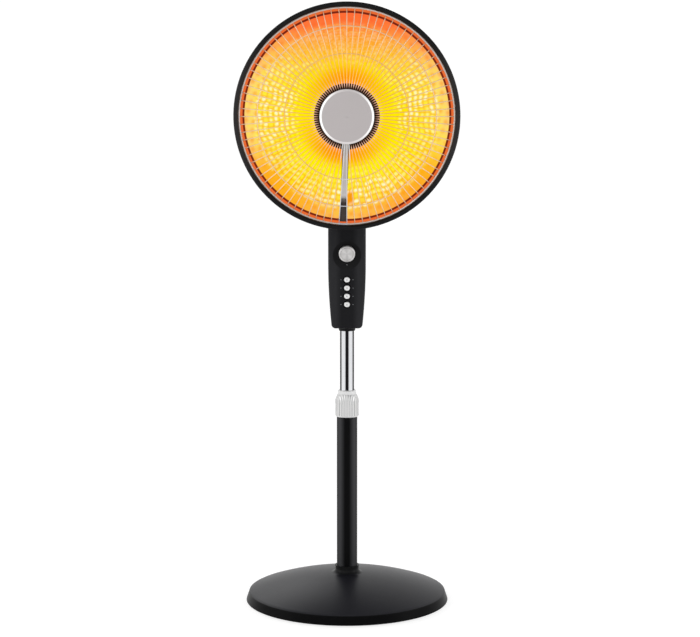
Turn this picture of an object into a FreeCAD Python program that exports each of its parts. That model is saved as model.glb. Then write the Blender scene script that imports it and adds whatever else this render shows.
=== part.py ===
import FreeCAD, Part
import math
import os
import re

import Sketcher
from FreeCAD import Placement, Rotation, Vector

# Freestanding parabolic dish heater on a telescopic pole.
# Millimetres. X to the right seen from the front, front faces -Y, Z up, origin on the floor below the pole.

COUNTS = {"feet": 5, "ribs": 36, "wires": 84, "facet_rows": 8, "coil_turns": 8, "buttons": 4, "rivets": 4,
          "bush_slots": 4, "wire_spans": 4, "knob_flutes": 10, "box_vents": 4, "cover_vents": 5, "hexagon": 6}
SIZES = {
    # Base
    "base_diameter": 342, "base_lift": 2, "skirt_height": 14.2, "skirt_draft": 4.9, "skirt_round": 4,
    "base_wall": 2.6, "dome_top": 47, "dome_share": 1.5, "hub_wall": 3.1, "hub_neck": 1.4,
    "hub_flare": 7, "hub_rise": 13, "hub_bead": 2, "socket_floor": 24, "socket_plate": 3,
    "plate_thickness": 1.2, "plate_lift": 4, "foot_diameter": 20, "foot_share": 0.347, "weight_share": 0.588,
    "weight_bore": 60, "weight_thickness": 12, "cover_screw_inset": 30.2, "cover_boss": 9,
    "screw_diameter": 4, "screw_head": 8, "screw_head_depth": 2,
    # Pole and lock
    "pole_diameter": 34.6, "pole_wall": 1.2, "pole_top": 336, "plug_height": 16, "bolt_diameter": 8,
    "bolt_head": 13, "bolt_head_depth": 5, "washer_diameter": 22, "washer_thickness": 1.6,
    "sleeve_gap": 5.3, "tube_wall": 1, "bush_spigot": 40, "bush_flange": 2.5, "thread_inset": 3.6,
    "bush_finger_height": 21, "bush_slot": 1.6, "collar_wall": 2.4, "collar_lap": 20.4,
    "collar_height": 45, "collar_shoulder": 24, "collar_neck_inset": 4.2, "collar_ring": 6.5,
    "collar_top_inset": 4.4, "collar_edge": 1.2, "collar_groove": 1, "collar_groove_depth": 0.7,
    "collar_groove_lift": 2.4,
    # Mast and control box
    "mast_rise": 130.9, "tube_lap": 186, "tube_entry": 23.1, "glide_height": 14, "glide_spigot": 18,
    "neck_wall": 2.8, "neck_drop": 5.9, "neck_flange_lap": 3.5, "neck_flange_height": 4, "neck_sleeve": 21.1,
    "box_height": 201.1, "box_width": 62.6, "box_depth": 56, "box_wall": 2.6, "box_foot_draw": 6,
    "box_taper_height": 110, "box_corner": 7, "box_edge": 6.5, "box_boss": 8, "box_boss_inset": 10.3,
    "boss_drop_low": 105, "boss_drop_high": 46, "vent_width": 26, "vent_height": 2.4, "vent_pitch": 6,
    "vent_drop": 40, "box_screw": 3,
    # Timer, buttons and switches
    "knob_drop": 75.5, "knob_diameter": 26.6, "knob_depth": 11, "knob_bevel": 1.2, "knob_groove": 0.6,
    "knob_stand_off": 1.2, "recess_margin": 10.7, "recess_depth": 1.6, "recess_drop": 3.3,
    "shaft_diameter": 6, "timer_width": 38, "timer_depth": 20, "button_width": 9.4, "button_height": 8.4,
    "button_proud": 2.2, "button_dome": 1.2, "button_drop": 119.2, "button_pitch": 13.73, "button_flange": 1.2,
    "button_flange_lap": 0.9, "button_gap": 0.4, "button_stem": 5, "button_travel": 4, "stem_reach": 3,
    "switch_width": 22, "switch_depth": 18, "switch_margin": 9, "switch_lug": 8, "tip_width": 22,
    "tip_depth": 14, "tip_height": 26, "tip_drop": 102, "gland_rise": 53.1, "gland_flange": 18,
    "gland_flange_depth": 3, "gland_body": 13, "gland_nose": 9, "gland_tip": 11.4, "cord_bore": 7.2,
    "gland_nut": 17,
    # Swing drive
    "motor_inset": 6.8, "motor_drop": 38, "motor_height": 16, "motor_shaft": 7, "motor_shaft_offset": 13,
    "motor_plate": 1.6, "crank_throw": 7.5, "crank_disc": 23, "crank_drop": 20, "crank_thickness": 3,
    "pin_diameter": 4, "pin_length": 5, "arm_drop": 15, "arm_thickness": 3.5, "arm_width": 14,
    "arm_reach": 25.4, "slot_width": 5.4, "slot_inner": 3.4, "stub_diameter": 18, "bearing_lap": 8,
    # Swivel and tilt
    "turret_diameter": 48, "turret_gap": 1, "turret_height": 8, "yoke_depth": 24, "yoke_drop": 20,
    "tilt_rise": 74, "ear_play": 1.5, "ear_thickness": 6, "ear_radius": 13, "tilt_bolt": 8,
    "tilt_head": 16, "tilt_head_depth": 5, "tilt_washer": 24, "tilt_knob": 28, "tilt_knob_depth": 16,
    "tilt_knob_gap": 4, "tilt_knob_flute": 5, "tilt_knob_bevel": 1.5,
    # Head carrier and back
    "dish_rise": 76, "shell_seat": 13, "sheet": 1, "shell_flat": 128, "shell_curve_share": 0.867,
    "bracket_disc": 92, "bracket_plate": 4, "tongue_width": 25, "tongue_depth": 20, "tongue_eye": 24,
    "rivet_ring": 37, "rivet_diameter": 5, "rivet_head": 9, "rivet_head_depth": 1.8, "cover_diameter": 124,
    "cover_back_diameter": 84, "cover_depth": 47, "cover_wall": 2.2, "cover_round": 8, "cover_slot_depth": 30,
    "cover_vent": 3, "cover_vent_pitch": 8, "cover_vent_length": 44, "cutout_diameter": 16,
    "cutout_height": 7, "cutout_x": 26, "terminal_width": 34, "terminal_height": 16, "terminal_depth": 12,
    # Dish, trim and guard
    "rim_diameter": 364, "rim_band": 7.8, "rim_wall": 4, "trim_back": 82, "trim_lip": 2, "trim_nose": 7.8,
    "trim_round": 3, "shell_flange": 5, "reflector_gap": 9, "reflector_flange": 13.5, "gutter_width": 3.4,
    "gutter_depth": 2.6, "facet_inner_share": 0.456, "facet_outer_share": 0.874, "facet_rise": 0.55,
    "guard_inset": 1, "guard_rim_wire": 4, "guard_rise": 38, "guard_wire": 1.5, "guard_hub_wire": 2.4,
    "ring_inner_share": 0.576, "ring_outer_share": 0.83, "guard_ring_set": 1.1, "cap_diameter": 86.6,
    "cap_lap": 7.3, "cap_edge": 2.2, "cap_bevel": 3.2, "cap_rise": 2.4, "cap_wall": 1.2, "cap_post": 9,
    "backplate_lap": 2.5, "backplate_thickness": 1.4, "cap_screw": 4, "cap_screw_head": 8,
    # Heating element
    "strut_width": 10.4, "strut_wall": 0.8, "strut_gap": 5, "strut_depth": 6, "strut_rise": 24,
    "strut_bend_share": 0.754, "strut_foot_reach": 4.4, "strut_toe": 2.5, "strip_share": 0.797,
    "strip_thickness": 0.8, "shield_diameter": 105.8, "shield_skirt": 23, "shield_round": 6,
    "core_diameter": 48, "core_rise": 28, "core_flange_lap": 9, "core_flange_depth": 5, "core_end_lap": 5,
    "coil_wire": 2.4, "coil_pitch": 3.8, "coil_tail": 2.4, "element_bolt": 5, "element_head": 6.8,
    "element_nut": 10, "lead_diameter": 2.4,
    # Fits
    "fit": 0.1, "running": 0.3, "overrun": 5,
}
# Sizes and levels that follow from those above
SUMS = {
    "dome_radius": "base_diameter * dome_share",
    "foot_ring": "base_diameter * foot_share",
    "weight_diameter": "base_diameter * weight_share",
    "cover_screw_ring": "base_diameter / 2 - cover_screw_inset",
    "hub_diameter": "pole_diameter + 2 * hub_wall",
    "hub_top": "dome_top + hub_rise",
    "tube_diameter": "pole_diameter - 2 * sleeve_gap",
    "bush_thread": "pole_diameter - 2 * thread_inset",
    "collar_diameter": "pole_diameter + 2 * collar_wall",
    "collar_neck": "collar_diameter - 2 * collar_neck_inset",
    "collar_top": "collar_diameter - 2 * collar_top_inset",
    "collar_bottom": "pole_top - collar_lap",
    "neck_diameter": "tube_diameter + 2 * neck_wall",
    "neck_flange": "neck_diameter + 2 * neck_flange_lap",
    "tube_bottom": "pole_top - tube_lap",
    "box_bottom": "pole_top + mast_rise",
    "box_top": "box_bottom + box_height",
    "box_foot_width": "box_width - 2 * box_foot_draw",
    "box_boss_x": "box_width / 2 - box_boss_inset",
    "tube_top": "box_bottom + tube_entry",
    "neck_bottom": "box_bottom - neck_drop",
    "neck_sleeve_top": "box_bottom + neck_sleeve",
    "gland_height": "box_bottom + gland_rise",
    "box_boss_low": "box_top - boss_drop_low",
    "box_boss_high": "box_top - boss_drop_high",
    "vent_bottom": "box_top - vent_drop",
    "knob_height": "box_top - knob_drop",
    "recess_diameter": "knob_diameter + 2 * recess_margin",
    "button_top": "box_top - button_drop",
    "tip_bottom": "box_top - tip_drop",
    "motor_diameter": "box_width - 2 * motor_inset",
    "motor_bottom": "box_top - motor_drop",
    "crank_bottom": "box_top - crank_drop",
    "arm_bottom": "box_top - arm_drop",
    "bearing_flange": "stub_diameter + 2 * bearing_lap",
    "turret_bottom": "box_top + turret_gap",
    "tilt_height": "box_top + tilt_rise",
    "yoke_floor": "tilt_height - yoke_drop",
    "ear_inner": "tongue_width / 2 + ear_play",
    "dish_height": "tilt_height + dish_rise",
    "rim_lip_diameter": "rim_diameter - 2 * rim_band",
    "flange_diameter": "rim_diameter - 2 * rim_wall",
    "shell_bowl": "flange_diameter - 2 * shell_flange",
    "shell_curve": "shell_bowl * shell_curve_share",
    "bowl_diameter": "flange_diameter - 2 * reflector_flange",
    "reflector_apex": "shell_seat + reflector_gap",
    "facet_inner": "bowl_diameter / 2 * facet_inner_share",
    "facet_pitch": f"bowl_diameter / 2 * (facet_outer_share - facet_inner_share) / {COUNTS['facet_rows']}",
    "dish_front": "trim_back + trim_lip + 2 * sheet",
    "guard_rim": "rim_lip_diameter - 2 * guard_inset",
    "guard_ring_inner": "guard_rim * ring_inner_share",
    "guard_ring_outer": "guard_rim * ring_outer_share",
    "guard_ball": "(guard_rim ^ 2 / 4 + guard_rise ^ 2) / (2 * guard_rise)",
    "guard_apex": "dish_front + guard_rim_wire / 2 + fit + guard_rise",
    "guard_centre": "guard_apex - guard_ball",
    "guard_hub": "cap_diameter - 2 * cap_lap",
    "cap_back": "guard_centre + sqrt(guard_ball ^ 2 - cap_diameter ^ 2 / 4) + guard_wire / 2 + running",
    "backplate_diameter": "guard_hub + 2 * backplate_lap",
    "hub_level": "guard_centre + sqrt(guard_ball ^ 2 - guard_hub ^ 2 / 4)",
    "backplate_front": "hub_level - guard_hub_wire / 2 - running",
    "strut_bend": "bowl_diameter / 2 * strut_bend_share",
    "strut_foot": "bowl_diameter / 2 + strut_foot_reach",
    "strip_end": "bowl_diameter / 2 * strip_share",
    "strut_front": "guard_centre + sqrt(guard_ball ^ 2 - strut_bend ^ 2) - strut_gap",
    "core_back": "reflector_apex + core_rise",
    "core_flange": "core_diameter + 2 * core_flange_lap",
    "core_end": "core_diameter + 2 * core_end_lap",
}
NAMES = {**SIZES, **{alias: f"={text}" for alias, text in SUMS.items()}}

doc = FreeCAD.newDocument("DishHeater")
sheet = doc.addObject("Spreadsheet::Sheet", "Sizes")
for row, (alias, value) in enumerate(NAMES.items(), start=1):
    sheet.set(f"A{row}", alias)
    sheet.set(f"B{row}", str(value))
    sheet.setAlias(f"B{row}", alias)
doc.recompute()

# Turns from a part's own axes: its Z axis towards the front, the back or the right
FRONT = Rotation(Vector(1, 0, 0), 90)
BACK = Rotation(Vector(1, 0, 0), -90)
RIGHT = Rotation(Vector(0, 1, 0), 90)
UP = Rotation()

nodes = []


def formula(text):
    """A sum of sheet names, as an expression of the document."""
    def named(word):
        return f"Sizes.{word[0]}" if word[0] in NAMES else word[0]

    return re.sub(r"[a-z][a-z_]*", named, str(text))


def number(text):
    """What a sum of sheet names comes to."""
    return float(sheet.evalExpression(formula(text)))


def bind(thing, **sums):
    for name, text in sums.items():
        thing.setExpression(name.replace("__", "."), formula(text))


def place(thing, at=("0", "0", "0"), turn=UP):
    """Set a thing down with its origin at three sums."""
    thing.Placement = Placement(Vector(*[number(text) for text in at]), turn)
    for axis, text in zip("xyz", at):
        if text != "0":
            thing.setExpression(f"Placement.Base.{axis}", formula(text))
    return thing


def node(thing, label):
    """Mark a thing as a piece of the heater."""
    thing.Label = label
    nodes.append(thing)
    return thing


def cylinder(radius, length, at=("0", "0", "0"), turn=UP):
    thing = doc.addObject("Part::Cylinder", "Round")
    bind(thing, Radius=radius, Height=length)
    return place(thing, at, turn)


def cone(radius_low, radius_high, length, at=("0", "0", "0"), turn=UP):
    thing = doc.addObject("Part::Cone", "Taper")
    bind(thing, Radius1=radius_low, Radius2=radius_high, Height=length)
    return place(thing, at, turn)


def block(width, depth, height, at=("0", "0", "0")):
    """A box centred in X and Y on a point, standing on it."""
    thing = doc.addObject("Part::Box", "Block")
    bind(thing, Length=width, Width=depth, Height=height)
    x, y, z = at
    return place(thing, (f"{x} - ({width}) / 2", f"{y} - ({depth}) / 2", z))


def fused(*things):
    joined = doc.addObject("Part::MultiFuse", "Joined")
    joined.Shapes = list(things)
    return joined


def cut(base, *tools):
    """Take the tools out of the base."""
    result = doc.addObject("Part::Cut", "Cut")
    result.Base = base
    result.Tool = tools[0] if len(tools) == 1 else fused(*tools)
    return result


def common(base, tool):
    result = doc.addObject("Part::Common", "Shared")
    result.Base = base
    result.Tool = tool
    return result


def group(things):
    """Several like solids as one piece."""
    result = doc.addObject("Part::Compound", "Set")
    result.Links = list(things)
    return result


def around(count, radius, start=0):
    """Sums for x and y of points spread evenly on a circle."""
    angles = [start + 360 / count * step for step in range(count)]
    return [(f"({radius}) * cos({angle})", f"({radius}) * sin({angle})") for angle in angles]


def ring(inner, outer, low, height, turn=UP, at=("0", "0", "0")):
    """A tube from the low level along its own axis."""
    corners = [(inner, low), (outer, low), (outer, f"{low} + {height}"), (inner, f"{low} + {height}")]
    return turned(corners, at, turn)


def arc_through(start, end, radius):
    """The short arc between two points, turning left for a radius over zero and right under it."""
    chord = end - start
    rise = math.sqrt(max(radius ** 2 - (chord.Length / 2) ** 2, 0))
    normal = Vector(-chord.y, chord.x, 0).normalize()
    centre = (start + end) * 0.5 + normal * math.copysign(rise, radius)
    first, last = (start, end) if radius > 0 else (end, start)
    angles = [math.atan2(point.y - centre.y, point.x - centre.x) for point in (first, last)]
    return Part.ArcOfCircle(Part.Circle(centre, Vector(0, 0, 1), abs(radius)), *angles)


def outline(body, plane, corners, lift=None):
    """Closed sketch through corners (x, y), or (x, y, radius) where the edge that leaves one is an arc."""
    sketch = body.newObject("Sketcher::SketchObject", "Outline")
    support = [part for part in body.Origin.OriginFeatures if part.Role == plane]
    sketch.AttachmentSupport = [(support[0], "")]
    sketch.MapMode = "FlatFace"
    if lift:
        bind(sketch, AttachmentOffset__Base__z=lift)
    points = [Vector(number(corner[0]), number(corner[1]), 0) for corner in corners]
    ends = []
    for index, corner in enumerate(corners):
        start, end = points[index], points[(index + 1) % len(points)]
        if len(corner) == 2:
            sketch.addGeometry(Part.LineSegment(start, end))
            ends.append((1, 2))
        else:
            radius = number(corner[2])
            sketch.addGeometry(arc_through(start, end, radius))
            ends.append((1, 2) if radius > 0 else (2, 1))
    for index, corner in enumerate(corners):
        after = (index + 1) % len(corners)
        sketch.addConstraint(Sketcher.Constraint("Coincident", index, ends[index][1], after, ends[after][0]))
        for kind, text, value in zip(("DistanceX", "DistanceY"), corner, points[index]):
            limit = Sketcher.Constraint(kind, -1, 1, index, ends[index][0], value)
            bind(sketch, **{f"Constraints[{sketch.addConstraint(limit)}]": text})
        if len(corner) == 3:
            half_chord = (points[(index + 1) % len(points)] - points[index]).Length / 2
            if math.isclose(half_chord, abs(number(corner[2]))):
                sketch.addConstraint(Sketcher.Constraint("Symmetric", index, 1, index, 2, index, 3))
            else:
                size = Sketcher.Constraint("Radius", index, abs(number(corner[2])))
                bind(sketch, **{f"Constraints[{sketch.addConstraint(size)}]": f"abs({corner[2]})"})
    return sketch


def new_body(at=("0", "0", "0"), turn=UP):
    return place(doc.addObject("PartDesign::Body", "Piece"), at, turn)


def turned(corners, at=("0", "0", "0"), turn=UP, body=None):
    """A body of revolution about its own Z axis, from corners (radius, height)."""
    body = body or new_body(at, turn)
    sketch = outline(body, "XZ_Plane", corners)
    feature = body.newObject("PartDesign::Revolution", "Turned")
    feature.Profile = sketch
    feature.ReferenceAxis = (sketch, ["V_Axis"])
    feature.Angle = 360
    sketch.Visibility = False
    doc.recompute()
    return body


def padded(corners, length, at=("0", "0", "0"), turn=UP, plane="XY_Plane", lift=None, middle=False):
    """A body pushed out from a closed outline, one way or evenly about its plane."""
    body = new_body(at, turn)
    feature = body.newObject("PartDesign::Pad", "Pushed")
    feature.Profile = outline(body, plane, corners, lift)
    bind(feature, Length=length)
    if middle:
        feature.SideType = "Symmetric"
    doc.recompute()
    return body


def pocketed(body, corners, length, plane="XY_Plane", lift=None, middle=False, back=False):
    feature = body.newObject("PartDesign::Pocket", "Hollow")
    feature.Profile = outline(body, plane, corners, lift)
    bind(feature, Length=length)
    feature.Reversed = back
    if middle:
        feature.SideType = "Symmetric"
    doc.recompute()
    return feature


def repeated(body, feature, count):
    """Copies of a feature spread about the body's Z axis."""
    pattern = body.newObject("PartDesign::PolarPattern", "Spread")
    pattern.Originals = [feature]
    axis = [part for part in body.Origin.OriginFeatures if part.Role == "Z_Axis"]
    pattern.Axis = (axis[0], [""])
    pattern.Angle = 360
    pattern.Occurrences = count
    body.Tip = pattern
    doc.recompute()


def eased(body, radius, chosen, kind="Fillet"):
    """Round or bevel the edges of a body that a test picks."""
    tip = body.Tip
    names = [f"Edge{index}" for index, edge in enumerate(tip.Shape.Edges, start=1) if chosen(edge)]
    feature = body.newObject(f"PartDesign::{kind}", "Eased")
    feature.Base = (tip, names)
    bind(feature, **{"Radius" if kind == "Fillet" else "Size": radius})
    doc.recompute()
    return body


def slot_outline(width, height):
    """Corners of a round-ended slot that is wider than high, about the origin."""
    side, half = f"(({width}) - ({height})) / 2", f"({height}) / 2"
    return [(f"-({side})", f"-({half})"), (side, f"-({half})", half),
            (side, half), (f"-({side})", half, half)]


def tube_along(points, radius):
    """A round wire through points, mitred at each bend."""
    section = Part.Wire(Part.makeCircle(radius, points[0], points[1] - points[0]))
    return Part.makePolygon(points).makePipeShell([section], True, False, 1)


# Base: cover, weight, floor plate, feet and screws
base_r, hub_r = "base_diameter / 2", "hub_diameter / 2"
skirt_top = "(base_lift + skirt_height)"
bore_r = "(pole_diameter / 2 + fit)"
plate_top = "(plate_lift + plate_thickness)"
cover = turned([
    (base_r, "base_lift"),
    (f"{base_r} - skirt_draft", skirt_top),
    (f"{base_r} - skirt_draft - skirt_round", f"{skirt_top} + skirt_round / 2", "dome_radius"),
    (f"{hub_r} + hub_flare", "dome_top", "-hub_flare - hub_neck"),
    (f"{hub_r} - hub_neck / 2", "dome_top + hub_flare"),
    (f"{hub_r} - hub_neck / 2", "hub_top - hub_bead"),
    (hub_r, "hub_top - hub_bead"),
    (hub_r, "hub_top"),
    (bore_r, "hub_top"),
    (bore_r, "socket_floor"),
    ("bolt_diameter / 2 + running", "socket_floor"),
    ("bolt_diameter / 2 + running", "socket_floor - socket_plate"),
    (hub_r, "socket_floor - socket_plate"),
    (hub_r, "dome_top - base_wall", "-dome_radius + base_wall"),
    (f"{base_r} - skirt_draft - skirt_round - base_wall", f"{skirt_top} + skirt_round / 2 - base_wall"),
    (f"{base_r} - skirt_draft - base_wall", f"{skirt_top} - base_wall"),
    (f"{base_r} - base_wall", "base_lift"),
])
screw_spots = around(COUNTS["feet"], "cover_screw_ring", 90)
boss_height = f"{skirt_top} + base_wall / 2 + overrun - {plate_top}"
bosses = [cylinder("cover_boss / 2", boss_height, (x, y, plate_top)) for x, y in screw_spots]
pilots = [cylinder("screw_diameter / 2 + fit", "skirt_height", (x, y, "0")) for x, y in screw_spots]
node(cut(fused(cover, *bosses), *pilots), "base_cover")
node(ring("weight_bore / 2", "weight_diameter / 2", plate_top, "weight_thickness"), "base_weight")
plate_holes = [cylinder("screw_diameter / 2 + fit", "skirt_height", (x, y, "0")) for x, y in screw_spots]
disc = ring("washer_diameter / 2 + overrun", f"{base_r} - base_wall - overrun",
            "plate_lift", "plate_thickness")
node(cut(disc, *plate_holes), "base_plate")
node(group([cone("foot_diameter / 2 - screw_head_depth / 2", "foot_diameter / 2", "plate_lift", (x, y, "0"))
            for x, y in around(COUNTS["feet"], "foot_ring", 54)]), "base_feet")
node(group([fused(cylinder("screw_head / 2", "screw_head_depth", (x, y, "plate_lift - screw_head_depth")),
                  cylinder("screw_diameter / 2", "skirt_height - plate_lift", (x, y, "plate_lift")))
            for x, y in screw_spots]), "base_screws")

# Pole: tube, foot plug and the bolt that holds it to the base
pole_r = "pole_diameter / 2"
pole_in = "(pole_diameter / 2 - pole_wall)"
node(ring(pole_in, pole_r, "socket_floor", "pole_top - socket_floor"), "pole")
node(ring("bolt_diameter / 2 + fit", f"{pole_in} - fit", "socket_floor", "plug_height"), "pole_plug")
bolt_seat = "(socket_floor - socket_plate - washer_thickness)"
node(ring("bolt_diameter / 2 + fit", "washer_diameter / 2", bolt_seat, "washer_thickness"), "pole_washer")
hexagon = [(x, y) for x, y in around(COUNTS["hexagon"], "bolt_head / sqrt(3)")]
bolt_head = padded(hexagon, "bolt_head_depth", ("0", "0", f"{bolt_seat} - bolt_head_depth"))
bolt_shank = cylinder("bolt_diameter / 2", "socket_plate + washer_thickness + plug_height",
                      ("0", "0", bolt_seat))
node(fused(bolt_head, bolt_shank), "pole_bolt")

# Collet bush in the top of the pole, its fingers split by four slots
slide_r = "(tube_diameter / 2 + fit)"
finger_r = "(bush_thread / 2)"
collet = turned([
    (slide_r, "-bush_spigot"),
    (f"{pole_in} - fit", "-bush_spigot"),
    (f"{pole_in} - fit", "0"),
    (pole_r, "0"),
    (pole_r, "bush_flange"),
    (finger_r, "bush_flange"),
    (finger_r, "bush_finger_height - bush_flange"),
    (f"{finger_r} - bush_slot", "bush_finger_height"),
    (slide_r, "bush_finger_height"),
], ("0", "0", "pole_top"))
slots = pocketed(collet, [
    (f"{slide_r} - overrun", "-bush_slot / 2"),
    (f"{finger_r} + overrun", "-bush_slot / 2"),
    (f"{finger_r} + overrun", "bush_slot / 2"),
    (f"{slide_r} - overrun", "bush_slot / 2"),
], "bush_finger_height", lift="2 * bush_flange", back=True)
repeated(collet, slots, COUNTS["bush_slots"])
node(collet, "pole_bush")

# Ribbed lock collar that screws down over the collet
collar_r = "(collar_diameter / 2)"
collar_step = "(pole_top + bush_flange + running - collar_bottom)"
groove_r = f"({collar_r} - collar_groove_depth)"
collar = turned([
    ("pole_diameter / 2 + running", "0"),
    (f"{collar_r} - collar_edge", "0"),
    (collar_r, "collar_edge"),
    (collar_r, "collar_height - collar_shoulder", "collar_shoulder"),
    ("collar_neck / 2", "collar_height - collar_ring"),
    ("collar_top / 2", "collar_height - collar_edge"),
    ("collar_top / 2 - collar_edge", "collar_height"),
    ("tube_diameter / 2 + running", "collar_height"),
    ("tube_diameter / 2 + running", "collar_height - collar_edge"),
    (f"{finger_r} + running", f"{collar_step} + bush_finger_height - bush_flange"),
    (f"{finger_r} + running", collar_step),
    ("pole_diameter / 2 + running", collar_step),
], ("0", "0", "collar_bottom"))
ribs = pocketed(collar, [
    (groove_r, "-collar_groove / 2"),
    (f"{groove_r} + overrun", "-collar_groove / 2"),
    (f"{groove_r} + overrun", "collar_groove / 2"),
    (groove_r, "collar_groove / 2"),
], "collar_height", lift="collar_groove_lift", back=True)
repeated(collar, ribs, COUNTS["ribs"])
node(collar, "lock_collar")

# Mast: chrome tube, its glide inside the pole and the bush that carries the box
tube_r, tube_in = "tube_diameter / 2", "(tube_diameter / 2 - tube_wall)"
node(ring(tube_in, tube_r, "tube_bottom", "tube_top - tube_bottom"), "inner_tube")
node(turned([
    ("0", "tube_bottom - glide_height"),
    (f"{pole_in} - running", "tube_bottom - glide_height"),
    (f"{pole_in} - running", "tube_bottom"),
    (f"{tube_in} - fit", "tube_bottom"),
    (f"{tube_in} - fit", "tube_bottom + glide_spigot"),
    ("0", "tube_bottom + glide_spigot"),
]), "tube_glide")
box_floor = "(box_bottom + box_wall)"
node(turned([
    (slide_r, "neck_bottom"),
    ("neck_diameter / 2 - box_wall / 2", "neck_bottom"),
    ("neck_diameter / 2", "box_bottom"),
    ("neck_diameter / 2", f"{box_floor} + fit"),
    ("neck_flange / 2", f"{box_floor} + fit"),
    ("neck_flange / 2", f"{box_floor} + neck_flange_height"),
    ("neck_diameter / 2", f"{box_floor} + neck_flange_height"),
    ("neck_diameter / 2", "neck_sleeve_top"),
    (slide_r, "neck_sleeve_top"),
]), "neck_bush")


def control_block(inset):
    """The control box's rounded form, drawn in on every side by the inset."""
    half, low, top = f"(box_width / 2 - {inset})", f"(box_bottom + {inset})", f"(box_top - {inset})"
    lean = "((box_width - box_foot_width) / 2)"
    sweep = f"((box_taper_height ^ 2 + {lean} ^ 2) / (2 * {lean}))"
    taper = f"({sweep} - {inset})"
    turn_at = "(box_bottom + box_taper_height)"
    foot = f"(box_width / 2 - {sweep} + sqrt({taper} ^ 2 - (box_taper_height - {inset}) ^ 2))"
    body = padded([
        (f"-{foot}", low),
        (foot, low, taper),
        (half, turn_at),
        (half, top),
        (f"-{half}", top),
        (f"-{half}", turn_at, taper),
    ], f"box_depth - 2 * {inset}", plane="XZ_Plane", middle=True)
    face = number(f"box_depth / 2 - {inset}") - number("fit")
    eased(body, f"box_corner - {inset}", lambda edge: edge.BoundBox.YLength > face)
    eased(body, f"box_edge - {inset}", lambda edge: edge.BoundBox.YMin > face or edge.BoundBox.YMax < -face)
    return body


# Control box: two shells with screw bosses, split on the middle plane
wall_in = "(box_depth / 2 - box_wall)"
hollow = cut(control_block("0"), control_block("box_wall"))
boss_spots = [(f"{side} * box_boss_x", height)
              for side in (-1, 1) for height in ("box_boss_low", "box_boss_high")]
halves = {}
for label, side, turn in (("control_front", -1, FRONT), ("control_rear", 1, BACK)):
    half = block("box_width + overrun", "box_depth", "box_top", ("0", f"{side} * box_depth / 2", "overrun"))
    shell_bosses = [cylinder("box_boss / 2", f"{wall_in} + box_wall / 2", (x, "0", z), turn)
                    for x, z in boss_spots]
    halves[label] = fused(common(hollow, half), *shell_bosses)

top_bore = cylinder("stub_diameter / 2 + box_wall + fit", "2 * overrun", ("0", "0", "box_top - overrun"))
neck_bore = cylinder("neck_diameter / 2 + fit", "2 * overrun", ("0", "0", "box_bottom - overrun"))
recess_ball = "((recess_diameter ^ 2 / 4 + recess_depth ^ 2) / (2 * recess_depth))"
dish = doc.addObject("Part::Sphere", "Recess")
bind(dish, Radius=recess_ball)
place(dish, ("0", f"-box_depth / 2 - {recess_ball} + recess_depth", "knob_height - recess_drop"))
shaft_hole = cylinder("shaft_diameter / 2 + running", "box_depth / 2", ("0", "0", "knob_height"), FRONT)
button_heights = [f"(button_top - {index} * button_pitch)" for index in range(COUNTS["buttons"])]
button_holes = [padded(slot_outline("button_width + 2 * button_gap", "button_height + 2 * button_gap"),
                       "box_depth", ("0", "0", height), FRONT) for height in button_heights]
pilot_holes = [cylinder("box_screw / 2 + fit", f"{wall_in} - overrun", (x, "0", z), FRONT)
               for x, z in boss_spots]
node(cut(halves["control_front"], top_bore, neck_bore, dish, shaft_hole, *button_holes, *pilot_holes),
     "control_front")
screw_holes = [cylinder("box_screw / 2 + fit", "box_depth", (x, "0", z), BACK) for x, z in boss_spots]
head_holes = [cylinder("screw_head / 2 - fit", "box_depth", (x, "box_depth / 2 - screw_head_depth", z), BACK)
              for x, z in boss_spots]
gland_hole = cylinder("gland_body / 2 + fit", "box_depth", ("0", "0", "gland_height"), BACK)
vent_levels = [f"vent_bottom + {index} * vent_pitch" for index in range(COUNTS["box_vents"])]
vents = [block("vent_width", "box_depth", "vent_height", ("0", "box_depth", level)) for level in vent_levels]
node(cut(halves["control_rear"], top_bore, neck_bore, gland_hole, *screw_holes, *head_holes, *vents),
     "control_rear")
node(group([fused(cylinder("screw_head / 2 - running", "screw_head_depth / 2",
                           (x, "box_depth / 2 - screw_head_depth", z), BACK),
                  cylinder("box_screw / 2", "box_depth - screw_head_depth - 2 * overrun - box_wall",
                           (x, "box_depth / 2 - screw_head_depth", z), FRONT))
            for x, z in boss_spots]), "control_screws")

# Timer behind the front wall, its knob and shaft
timer_low = "(knob_height - timer_width / 2)"
timer_case = block("timer_width", "timer_depth", "timer_width",
                   ("0", f"-{wall_in} + timer_depth / 2", timer_low))
shaft_well = cylinder("shaft_diameter / 2 + running", "box_depth / 2",
                      ("0", f"-{wall_in} + overrun", "knob_height"), FRONT)
node(cut(timer_case, shaft_well), "timer")
knob_back = "(box_depth / 2 + knob_stand_off)"
knob_front = f"({knob_back} + knob_depth)"
knob_r = "(knob_diameter / 2)"
node(turned([
    ("shaft_diameter / 2", knob_back),
    (f"{knob_r} - knob_bevel", knob_back),
    (knob_r, f"{knob_back} + knob_bevel"),
    (knob_r, f"{knob_front} - knob_bevel"),
    (f"{knob_r} - knob_bevel", knob_front),
    (f"{knob_r} - 2 * knob_bevel", knob_front),
    (f"{knob_r} - 2 * knob_bevel", f"{knob_front} - knob_groove"),
    (f"{knob_r} - 2 * knob_bevel - knob_groove", f"{knob_front} - knob_groove"),
    (f"{knob_r} - 3 * knob_bevel", knob_front),
    ("0", f"{knob_front} - knob_groove"),
    ("0", f"{knob_front} - overrun"),
    ("shaft_diameter / 2", f"{knob_front} - overrun"),
], ("0", "0", "knob_height"), FRONT), "timer_knob")
node(cylinder("shaft_diameter / 2 - fit", f"{knob_front} - overrun - fit - {wall_in} + overrun - running",
              ("0", f"-{wall_in} + overrun - running", "knob_height"), FRONT), "timer_shaft")

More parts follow.
